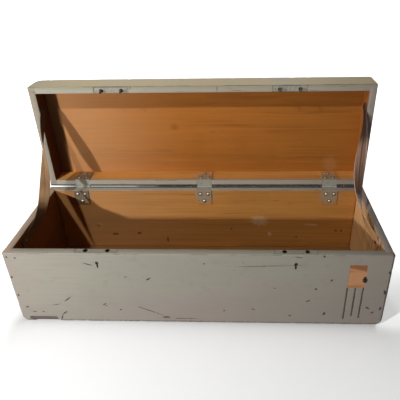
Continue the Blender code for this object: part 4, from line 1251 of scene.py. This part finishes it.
def strap_band(label):
    """A leather strap as a rounded band carried along a sagging line with a half turn.

    The middle is chord(s) + inward BOW k e (1 - e)^2 + down SAG k s (1 - s)^2, where k = 27/4 makes the peak
    of either curve 1, e is s eased in past a flat end, and the sag goes on straight below the lower screw.
    The band turns about the line by pi t^2 (3 - 2 t) over the twist. The section is flat, with thinned edges
    and a pressed crease near each."""
    side = STRAP_SIDES[label]
    mirror = np.array((side, 1, 1))
    start = np.array(STRAP_BOX_END) * mirror
    chord = np.array(STRAP_LID_END) * mirror - start
    length = np.linalg.norm(chord)
    along = chord / length
    inward = np.array((-side, 0.0, 0.0))
    down = np.array((0.0, along[Z], -along[Y]))
    tab = STRAP_TAB / length
    near = np.linspace(0, 1, STRAP_END_STATIONS) ** 2 * STRAP_CORNER / length
    between = np.linspace(-tab + near[-1], 1 + tab - near[-1], STRAP_STATIONS)[1:-1]
    s = np.concatenate((-tab + near, between, 1 + tab - near[::-1]))
    flat_share = STRAP_FLAT / length
    inside = np.clip((s - flat_share) / (1 - flat_share), 0, 1)
    eased = np.hypot(inside, STRAP_BOW_EASE) - STRAP_BOW_EASE
    eased = eased / (math.hypot(1, STRAP_BOW_EASE) - STRAP_BOW_EASE)
    bow = STRAP_BOW[label] * PEAK_SCALE * eased * (1 - eased) ** 2
    turn = np.clip((s - STRAP_TWIST[label] + STRAP_TWIST_HALF) / (2 * STRAP_TWIST_HALF), 0, 1)
    angle = math.pi * turn**2 * (3 - 2 * turn)
    within = np.clip(s, 0, 1)
    sag = STRAP_SAG[label] * PEAK_SCALE * (within * (1 - within) ** 2 + np.minimum(s, 0))
    middle = start + s[:, None] * chord + bow[:, None] * inward + sag[:, None] * down
    ahead = np.gradient(middle, s, axis=0)
    ahead = ahead / np.linalg.norm(ahead, axis=1, keepdims=True)
    square = inward - (ahead @ inward)[:, None] * ahead
    square = square / np.linalg.norm(square, axis=1, keepdims=True)
    across = np.cos(angle)[:, None] * np.cross(ahead, square) + np.sin(angle)[:, None] * square
    through = np.cross(ahead, across)
    to_end = np.minimum(s + tab, 1 + tab - s) * length
    half_width = STRAP_WIDTH / 2 - lowering(to_end, STRAP_CORNER)
    columns = np.linspace(-STRAP_LAST_COLUMN, STRAP_LAST_COLUMN, STRAP_COLUMNS)
    w = np.concatenate(([-1.0], columns, [1.0]))
    past = np.clip((np.abs(w) - STRAP_EDGE_FROM) / (1 - STRAP_EDGE_FROM), 0, 1)
    edge = 1 - past**2 * STRAP_EDGE_THINNED
    crease = STRAP_CREASE * np.exp(-(((np.abs(w) - STRAP_CREASE_PLACE) / STRAP_CREASE_HALF) ** 2))
    half_thick = STRAP_THICK / 2 * edge - crease
    spots = middle[:, None, :] + half_width[:, None, None] * w[None, :, None] * across[:, None, :]
    lift = half_thick[None, :, None] * through[:, None, :]
    piece = closed_pair("leather_strap_" + label, spots + lift, spots - lift)
    place = np.stack(np.broadcast_arrays((w[None, :] + 1) / 2, (s * length)[:, None]), axis=-1)
    place = place.reshape(-1, 2)
    corners = np.zeros(len(piece.data.loops), np.int32)
    piece.data.loops.foreach_get("vertex_index", corners)
    band = piece.data.uv_layers.new(name="band")
    band.data.foreach_set("uv", np.concatenate((place, place))[corners].astype(np.float32).ravel())
    tidy_mesh(piece.data, STRAP_SMOOTH)
    return piece


def build_straps():
    """Two leather straps between the box and the lid, in place of their solids."""
    for label, side in STRAP_SIDES.items():
        piece = strap_band(label)
        piece.data.materials.append(strap_leather(label))
        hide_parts("strap_" + label)
        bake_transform(piece)


def finish_ironwork():
    """Hinges, locks and lid plates keep their solids and get their metals."""
    screws = {"box": [], "lid": []}
    for node in frame["nodes"]:
        for body in screws:
            if node.startswith("hinge") and f"_{body}_screw" in node:
                screws[body].append(tuple(screw_seat(node)[0]))
    box_wrap = (Z, BOX_RIM - 2.5 * MM, BOX_RIM - 1 * MM)
    lid_wrap = (Y, LID_RIM + 3 * MM, LID_RIM + 1.5 * MM)
    finishes = {
        "_box_leaf": hinge_leaf("box_leaf_finish", BACK_WOOD, box_leaf_smears, screws["box"], *box_wrap),
        "_lid_leaf": hinge_leaf("lid_leaf_finish", LEDGE_WOOD, lid_leaf_smears, screws["lid"], *lid_wrap),
        "_cap": dark_iron("lock_cap_finish"),
        "_bolt": screw_steel("bolt_finish", STEEL_DULL),
        "_pin": screw_steel("pin_finish", STEEL_DULL),
    }
    case_iron = (Z, BOX_RIM - 2 * MM, BOX_RIM - 3 * MM)
    plate_iron = (Y, LID_RIM - 0.5 * MM, LID_RIM - 1.5 * MM)
    for label, place in LOCK_PLACES.items():
        sides = (place - STAPLE_OFFSET, place + STAPLE_OFFSET)
        holes = [(x, STAPLE_HOLE_Y, BOX_RIM) for x in sides]
        roots = [(x, LID_RIM - 1 * MM, STAPLE_ROOT_Z) for x in sides]
        case, plate = f"lock_{label}_case", f"lock_{label}_lid_plate"
        finishes[case] = rim_plate(case, (X, Y), holes, 5.5 * MM, *case_iron)
        finishes[plate] = rim_plate(plate, (X, Z), roots, 5 * MM, *plate_iron)
    for node, piece in frame["nodes"].items():
        for ending, material in finishes.items():
            if node.endswith(ending):
                piece.data.materials.clear()
                piece.data.materials.append(material)


def build_floor():
    """One large pale sheet under the trunk."""
    corners = FLOOR_HALF * np.array(((-1, -1, 0), (1, -1, 0), (1, 1, 0), (-1, 1, 0)))
    floor = place_piece("floor", corners, np.array(((0, 1, 2, 3),)))
    floor.data.materials.append(floor_finish())


def add_lamp(name, place, aim, width, watts, fan):
    """A round lamp at a place, turned to an aim, whose light fans out by an angle in degrees."""
    lamp = bpy.data.lights.new(name, "AREA")
    lamp.shape = "DISK"
    lamp.size = width
    lamp.energy = watts
    lamp.spread = math.radians(fan)
    stand = bpy.data.objects.new(name, lamp)
    stand.location = place
    stand.rotation_euler = (Vector(aim) - Vector(place)).to_track_quat("-Z", "Y").to_euler()
    bpy.context.scene.collection.objects.link(stand)


def light_the_room():
    """A dim room that looks white to the camera, to gloss and through glass."""
    world = bpy.data.worlds.new("room")
    bpy.context.scene.world = world
    world.use_nodes = True
    nodes, links = world.node_tree.nodes, world.node_tree.links
    path = nodes.new("ShaderNodeLightPath")
    seen = path.outputs["Is Camera Ray"]
    for kind in ("Is Glossy Ray", "Is Transmission Ray"):
        either = nodes.new("ShaderNodeMath")
        either.operation = "MAXIMUM"
        links.new(seen, either.inputs[0])
        links.new(path.outputs[kind], either.inputs[1])
        seen = either.outputs[0]
    level = nodes.new("ShaderNodeMapRange")
    level.inputs["To Min"].default_value = ROOM_LIGHT
    level.inputs["To Max"].default_value = 1.0
    links.new(seen, level.inputs["Value"])
    background = nodes["Background"]
    background.inputs["Color"].default_value = (1, 1, 1, 1)
    links.new(level.outputs[0], background.inputs["Strength"])


def light_the_trunk():
    """A key lamp low at the left front, a second one high above it, two behind that just clear the floor,
    and two narrow ones above and behind for the lid's upper side."""
    for lamp in LAMPS:
        add_lamp(*lamp)


def set_camera():
    """The photograph's view: forward from yaw and pitch, right and up turned by the roll, and the shift from
    the middle of view."""
    yaw, pitch, roll = (math.radians(turn) for turn in (CAMERA_YAW, CAMERA_PITCH, CAMERA_ROLL))
    forward = Vector((math.sin(yaw) * math.cos(pitch), math.cos(yaw) * math.cos(pitch), -math.sin(pitch)))
    level = Vector((math.cos(yaw), -math.sin(yaw), 0.0))
    upright = level.cross(forward)
    right = math.cos(roll) * level + math.sin(roll) * upright
    up = math.cos(roll) * upright - math.sin(roll) * level
    data = bpy.data.cameras.new("camera")
    data.sensor_fit = "HORIZONTAL"
    data.sensor_width = SENSOR
    data.lens = FOCAL_PIXELS * SENSOR / FRAME_PIXELS
    data.shift_x = 0.5 - VIEW_MIDDLE[0] / FRAME_PIXELS
    data.shift_y = VIEW_MIDDLE[1] / FRAME_PIXELS - 0.5
    camera = bpy.data.objects.new("camera", data)
    turn = Matrix((right, up, -forward)).transposed().to_4x4()
    camera.matrix_world = Matrix.Translation(CAMERA_PLACE) @ turn
    bpy.context.scene.collection.objects.link(camera)
    bpy.context.scene.camera = camera


set_camera()
light_the_room()
light_the_trunk()
build_floor()
build_boards()
build_screws()
build_straps()
finish_ironwork()
bpy.context.scene.view_settings.view_transform = "Standard"
